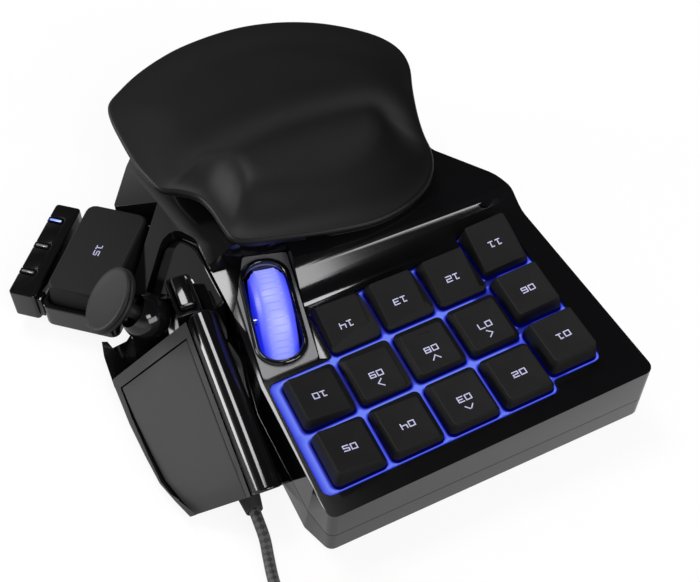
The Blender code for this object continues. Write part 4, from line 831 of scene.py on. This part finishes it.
def makeStatusLight(number, skin, slotName):
    node = f"light_pipe_{number}"
    smoothNode(node, "glossBlack", slotName, pipeSetup["smooth"])
    middle, normal = topPlane(node)
    along, reach = heading(keySetup["thumbTurn"]), []
    for side in (along, Vector((-along.y, along.x, 0.0))):
        spread = [vertex.co.dot(side) for vertex in nodes[node].data.vertices]
        reach.append((max(spread) - min(spread), side))
    (narrow, _), (wide, side) = sorted(reach, key=lambda item: item[0])
    long, slim = wide * pipeSetup["long"], narrow * pipeSetup["slim"]
    side = (side - normal * side.dot(normal)).normalized()
    matrix = standing(middle, side, normal.cross(side), normal)
    rise, sink, edge, corner, steps = given(pipeSetup, "rise sink edge corner cornerSteps")
    rings = []
    for inset, z in ((0.0, -sink), (0.0, rise / 2), (edge, rise)):
        outline = roundedBox(inset - long, long - inset, inset - slim, slim - inset, (slim - inset) * corner, steps)
        rings.append([matrix @ Vector((point.x, point.y, z)) for point in outline])
    flipped = matrix.inverted()
    dim, bright = given(pipeSetup, "litFrom litTo")

    def level(point):
        return dim + (bright - dim) * ((flipped @ point).x / (2 * long) + 0.5)

    finishGlow(loftRings(rings), level, f"{node}_window", skin, slotName, "case")


makeStatusLight(1, "pipeGlow", "lit_blue")
for number in (2, 3):
    makeStatusLight(number, "lensGrey", "lens_grey")
print("lit pieces made")

# Palm rest: a closed crowned form on the solid's outline

palmSetup = {"middle": (-0.0320, -0.1160), "length": 0.1150, "far": 0.0462, "near": 0.0405, "lip": 0.0038,
             "crown": 0.0078, "swell": 0.0022, "crest": (-0.0300, -0.1008), "bow": 0.0065, "bowHalf": 0.0360,
             "farSpread": 0.0270, "nearSpread": 0.0170, "edgeShare": 2.6, "steps": 5, "smooth": 60.0,
             "lowerRings": ((0.93, 1.0), (0.965, 0.97), (0.988, 0.8), (0.998, 0.5), (0.996, 0.22)),
             "upperShares": (0.985, 0.970, 0.95, 0.92, 0.88, 0.84, 0.79, 0.74, 0.68, 0.62, 0.55, 0.48, 0.40, 0.32,
                             0.24, 0.16, 0.08),
             "railLow": (-0.0361, -0.0474, 0.0300), "railHigh": (-0.0045, 0.0142, 0.0443)}
palmOutline = [
    (0.0194, -0.1545), (0.0130, -0.1600), (0.0055, -0.1648), (-0.0040, -0.1690), (-0.0140, -0.1718),
    (-0.0270, -0.1730), (-0.0390, -0.1722), (-0.0500, -0.1692), (-0.0590, -0.1650), (-0.0670, -0.1597),
    (-0.0750, -0.1522), (-0.0818, -0.1433), (-0.0850, -0.1340), (-0.0840, -0.1240), (-0.0790, -0.1120),
    (-0.0745, -0.1000), (-0.0716, -0.0900), (-0.0699, -0.0815), (-0.0665, -0.0740), (-0.0600, -0.0672),
    (-0.0500, -0.0626), (-0.0380, -0.0612), (-0.0240, -0.0638), (-0.0100, -0.0680), (0.0010, -0.0719),
    (0.0052, -0.0755), (0.0061, -0.0820), (0.0066, -0.0905), (0.0084, -0.0975), (0.0130, -0.1026),
    (0.0180, -0.1066), (0.0200, -0.1140), (0.0213, -0.1230), (0.0216, -0.1350), (0.0213, -0.1470),
]


def smoothLine(points, steps, closed):
    # a curve through all the points
    count, found = len(points), []
    for index in range(count if closed else count - 1):
        before, here, after, beyond = (
            Vector(points[(index + s) % count if closed else min(max(index + s, 0), count - 1)]) for s in (-1, 0, 1, 2))
        for step in range(steps):
            t = step / steps
            pull = here * 2 + (after - before) * t + (before * 2 - here * 5 + after * 4 - beyond) * t ** 2
            found.append((pull + (here * 3 - before - after * 3 + beyond) * t ** 3) / 2)
    if not closed:
        found.append(Vector(points[-1]))
    return found


def easeShare(value):
    held = min(max(value, 0.0), 1.0)
    return held * held * (3 - 2 * held)


def palmHeight(x, y, share):
    far, near, length, bow, bowHalf, crown, swell = given(palmSetup, "far near length bow bowHalf crown swell")
    (_, middleY), (crestX, crestY) = given(palmSetup, "middle crest")
    lip = far + (near - far) * (middleY + length / 2 - y) / length
    past = y - crestY - bow * ((x - crestX) / bowHalf) ** 2
    crest = crown * math.exp(-(past / palmSetup["farSpread" if past > 0.0 else "nearSpread"]) ** 2) + swell
    return lip, crest * easeShare((1.0 - share) * palmSetup["edgeShare"])


def palmRing(outline, share, drop):
    middleX, middleY = palmSetup["middle"]
    ring = []
    for point in outline:
        x, y = middleX + (point.x - middleX) * share, middleY + (point.y - middleY) * share
        lip, crest = palmHeight(x, y, share)
        ring.append(place(x, y, lip + (crest if drop is None else -drop)))
    return ring


def cutRoom(thing, low, high):
    # takes a box out of the underside, where the rail runs
    maker = bmesh.new()
    bmesh.ops.create_cube(maker, size=1.0)
    for vertex in maker.verts:
        vertex.co = Vector(high[axis] if vertex.co[axis] > 0.0 else low[axis] for axis in range(3))
    mesh = meshFrom("railRoom", maker)
    cutter = linked("railRoom", mesh)
    setAll(thing.modifiers.new("railRoom", "BOOLEAN"), operation="DIFFERENCE", solver="EXACT", object=cutter)
    made = plainMesh(thing)
    thing.modifiers.clear()
    thing.data = made
    bpy.data.objects.remove(cutter)
    bpy.data.meshes.remove(mesh)


def makePalmRest():
    outline = smoothLine(palmOutline, palmSetup["steps"], True)
    rings = [palmRing(outline, share, palmSetup["lip"] * drop) for share, drop in palmSetup["lowerRings"]]
    rings += [palmRing(outline, share, None) for share in palmSetup["upperShares"]]
    thing = meshPiece("palm_cover", loftRings(rings, "point"), "palmSoft", palmSetup["smooth"])
    cutRoom(thing, palmSetup["railLow"], palmSetup["railHigh"])
    keepPiece(thing, "palm_rest", "soft_black", "palm_rest")


makePalmRest()
print("palm rest made")

# Cable: one braided tube from inside the housing to the plug, wound and tied out of view

cableSetup = {"radius": 0.0018, "sides": 14, "checksAround": 8.0, "height": 0.0070, "out": 0.0045, "start": 0.0195,
              "room": 0.0003, "inHousing": (0.0160, 0.0080, 0.0), "lift": 0.0013, "riseAt": (0.0480, 0.0580),
              "leadPlaces": ((0.0314, 0.0045, 0.0050), (0.0325, 0.0095, 0.0027), (0.0338, 0.0155, 0.0),
                             (0.0348, 0.0230, 0.0), (0.0353, 0.0320, 0.0)),
              "leadSteps": 5, "right": 0.0355, "away": 0.0760, "innerRadius": 0.0138, "turnPitch": 0.00415,
              "layerPitch": 0.00415, "turns": (3.5, 3.5, 3.5, 3.0), "loopPoints": 24, "climb": 0.5, "bulge": 0.0013,
              "tailPlaces": ((0.0004, 0.0080), (0.0024, 0.0160), (0.0052, 0.0240), (0.0072, 0.0320),
                             (0.0080, 0.0400), (0.0082, 0.0460), (0.0082, 0.0510)),
              "tailSteps": 3, "plugHeight": 0.0078, "smooth": 60.0}
braidSetup = {"colour": (0.010, 0.010, 0.011), "roughness": 0.55, "sheen": 0.15, "turn": 45.0,
              "pale": (0.05, 0.05, 0.052), "dark": (0.008, 0.008, 0.009), "weaveBump": 0.6, "weaveDepth": 0.0002}


def cableRoute():
    radius, lift, room, height, out = given(cableSetup, "radius lift room height out")
    inner, pitch, layerPitch, layers, climb, loop = given(
        cableSetup, "innerRadius turnPitch layerPitch turns climb loopPoints")
    outer = inner + layers[0] * pitch
    centre = Vector((gridX + cableSetup["right"] - outer, gridY + cableSetup["away"], 0.0))
    low, leadX, coilY = lift + radius, centre.x + outer, centre.y - 2 * radius
    lead = [place(*alongHousing(back, out), height) for back in (cableSetup["start"] - room, *cableSetup["inHousing"])]
    lead += [place(x, y, max(z, radius)) for x, y, z in cableSetup["leadPlaces"]]
    first, second = (gridY + away for away in cableSetup["riseAt"])
    lead += [Vector((leadX, y, z)) for y, z in ((first, low - lift / 2), (second, low), (coilY - room, low))]
    coil = [Vector((leadX, coilY, low))]
    turnedBy, reach = 0.0, outer

    def addPoint(wide, turned, z):
        angle = math.tau * turned
        coil.append(centre + Vector((wide * math.cos(angle), wide * math.sin(angle), z)))

    for layer, turns in enumerate(layers):
        level, inward = low + layer * layerPitch, layer % 2 == 0
        steps = round(turns * loop)
        for gone in (turns * step / steps for step in range(steps + 1)):
            reach = outer - pitch * gone if inward else inner + pitch * gone
            addPoint(reach, turnedBy + gone, level)
        turnedBy += turns
        if layer + 1 < len(layers):
            steps = round(climb * loop)
            for share in (step / steps for step in range(1, steps)):
                wide = reach + cableSetup["bulge"] * math.sin(math.pi * share) * (-1.0 if inward else 1.0)
                addPoint(wide, turnedBy + climb * share, level + layerPitch * easeShare(share))
            turnedBy += climb
    plugZ = cableSetup["plugHeight"] / 2
    heights = (level, level - radius / 3, level - layerPitch, plugZ + layerPitch, plugZ + radius / 3, plugZ, plugZ)
    tail = [coil[-1]] + [centre + Vector((reach + x, y, z)) for (x, y), z in zip(cableSetup["tailPlaces"], heights)]
    return (smoothLine(lead, cableSetup["leadSteps"], False) + coil
            + smoothLine(tail, cableSetup["tailSteps"], False)[1:])


def braidMaterial():
    made = plasticMaterial("braidedSleeve", braidSetup)
    tree = made.node_tree
    shader = tree.nodes["Principled BSDF"]
    coords = addNode(tree, "TexCoord")
    weave = addNode(tree, "Mapping", {"Rotation": (0.0, 0.0, math.radians(braidSetup["turn"]))},
                    Vector=coords.outputs["UV"])
    checks = addNode(tree, "TexChecker", {"Scale": 1.0, "Color1": (*braidSetup["pale"], 1.0),
                                                    "Color2": (*braidSetup["dark"], 1.0)}, Vector=weave.outputs[0])
    bump = addNode(tree, "Bump", {"Strength": braidSetup["weaveBump"], "Distance": braidSetup["weaveDepth"]},
                   Height=checks.outputs["Fac"])
    tree.links.new(checks.outputs["Color"], shader.inputs["Base Color"])
    tree.links.new(bump.outputs[0], shader.inputs["Normal"])
    return made


skins["braidedSleeve"] = braidMaterial()


def makeCable():
    route = cableRoute()
    sides, radius, around = given(cableSetup, "sides radius checksAround")
    maker = bmesh.new()
    layer = maker.loops.layers.uv.new("UVMap")
    turns = [math.tau * s / sides for s in range(sides)]
    rows, lengths, gone = [], [], 0.0
    for index, point in enumerate(route):
        last, after = route[max(index - 1, 0)], route[min(index + 1, len(route) - 1)]
        side = (after - last).cross(Vector((0.0, 0.0, 1.0))).normalized()
        high = side.cross(after - last).normalized()
        rows.append([maker.verts.new(point + (side * math.cos(t) + high * math.sin(t)) * radius) for t in turns])
        gone += (point - last).length
        lengths.append(gone)
    along = around / (math.tau * radius)
    for index, (low, high) in enumerate(zip(rows, rows[1:])):
        for s, ((a, b), (c, d)) in enumerate(zip(sidesOf(low), sidesOf(high))):
            face = maker.faces.new((a, b, d, c))
            for loop, (u, v) in zip(face.loops, ((s, index), (s + 1, index), (s + 1, index + 1), (s, index + 1))):
                loop[layer].uv = (u * around / sides, lengths[v] * along)
    maker.faces.new(rows[0])
    maker.faces.new(rows[-1][::-1])
    bmesh.ops.recalc_face_normals(maker, faces=maker.faces)
    cable = meshPiece("braided_cable", maker, "braidedSleeve", cableSetup["smooth"])
    keepPiece(cable, "case", "braid_black", "cord_lead", "cord_coil")
    print(f"cable made, {gone:.3f} m")


makeCable()

# Floor, background and lamps

# Along Z and X the sky goes from one level to another, between two heights or sides
stageSetup = {"size": 3.0, "floorGrey": 0.85, "whiteShare": 0.88, "floorMirrored": 0.66, "ambient": 0.38,
              "skyRanges": {"Z": (0.28, 0.62, 1.0, 0.10), "X": (-0.3, 0.5, 0.12, 1.0)}, "white": (1.0, 1.0, 1.0, 1.0)}


def makeStage():
    maker, white = bmesh.new(), stageSetup["white"]
    bmesh.ops.create_grid(maker, x_segments=1, y_segments=1, size=stageSetup["size"])
    floor = linked("studioFloor", meshFrom("studioFloor", maker))
    made = bpy.data.materials.new("whiteFloor")
    made.use_nodes = True
    tree = made.node_tree
    tree.nodes.clear()
    result = addNode(tree, "OutputMaterial")
    diffuse = addNode(tree, "BsdfDiffuse", {"Color": (*[stageSetup["floorGrey"]] * 3, 1.0)})
    path = addNode(tree, "LightPath").outputs
    level = addNode(tree, "Mix", {"data_type": "FLOAT", 2: 1.0, 3: stageSetup["floorMirrored"]},
                    in0=path["Is Glossy Ray"])
    shine = addNode(tree, "Emission", {"Color": white}, Strength=level.outputs[0])
    seen = addMath(tree, "MAXIMUM", path["Is Camera Ray"], path["Is Glossy Ray"])
    seen = addMath(tree, "MAXIMUM", seen, path["Is Transmission Ray"])
    share = addMath(tree, "MULTIPLY", seen, stageSetup["whiteShare"])
    mixed = addNode(tree, "MixShader", in0=share, in1=diffuse.outputs[0], in2=shine.outputs[0])
    tree.links.new(mixed.outputs[0], result.inputs["Surface"])
    floor.data.materials.append(made)
    scene.world = bpy.data.worlds.new("studioWorld")
    scene.world.use_nodes = True
    tree = scene.world.node_tree
    back = tree.nodes["Background"]
    back.inputs["Color"].default_value = white
    height = addNode(tree, "SeparateXYZ", in0=addNode(tree, "TexCoord").outputs["Object"])
    labels = ("From Min", "From Max", "To Min", "To Max")
    over = [addNode(tree, "MapRange", dict(zip(labels, values)), in0=height.outputs[axis]).outputs[0]
            for axis, values in stageSetup["skyRanges"].items()]
    path = addNode(tree, "LightPath").outputs
    soft = addNode(tree, "Mix", {"data_type": "FLOAT", 2: stageSetup["ambient"]}, in0=path["Is Glossy Ray"],
                   in3=addMath(tree, "MULTIPLY", *over))
    whole = addNode(tree, "Mix", {"data_type": "FLOAT", 3: 1.0}, in0=path["Is Camera Ray"], in2=soft.outputs[0])
    tree.links.new(whole.outputs[0], back.inputs["Strength"])


# The first two draw the white lines along the ridge, the others light the deck's rise and the far edge
lampAway = 1.3
lampSetup = {
    "rightSoftbox": {"towards": (0.85, -0.52, 0.20), "size": (0.42, 0.46), "power": 8.0},
    "topSoftbox": {"towards": (0.10, -0.375, 0.92), "size": (0.42, 0.40), "power": 7.0},
    "farSoftbox": {"towards": (-0.04, 0.62, 0.78), "size": (0.42, 0.34), "power": 4.2},
    "farStrip": {"towards": (-0.27, 0.84, 0.46), "size": (0.95, 0.50), "power": 8.0},
}


def addLamp(name, setup):
    # it faces the object, and its width runs along x
    at = Vector(setup["towards"]) * lampAway
    wide, tall = setup["size"]
    lamp = linked(name, setAll(bpy.data.lights.new(name, "AREA"), shape="RECTANGLE", size=wide, size_y=tall,
                               energy=setup["power"]))
    away = at.normalized()
    level = (Vector((1.0, 0.0, 0.0)) - away * away.x).normalized()
    lamp.matrix_world = standing(at, level, away.cross(level), away)


makeStage()
for name, setup in lampSetup.items():
    addLamp(name, setup)
scene.view_settings.view_transform = "Standard"
print("stage and lamps in place")

import json
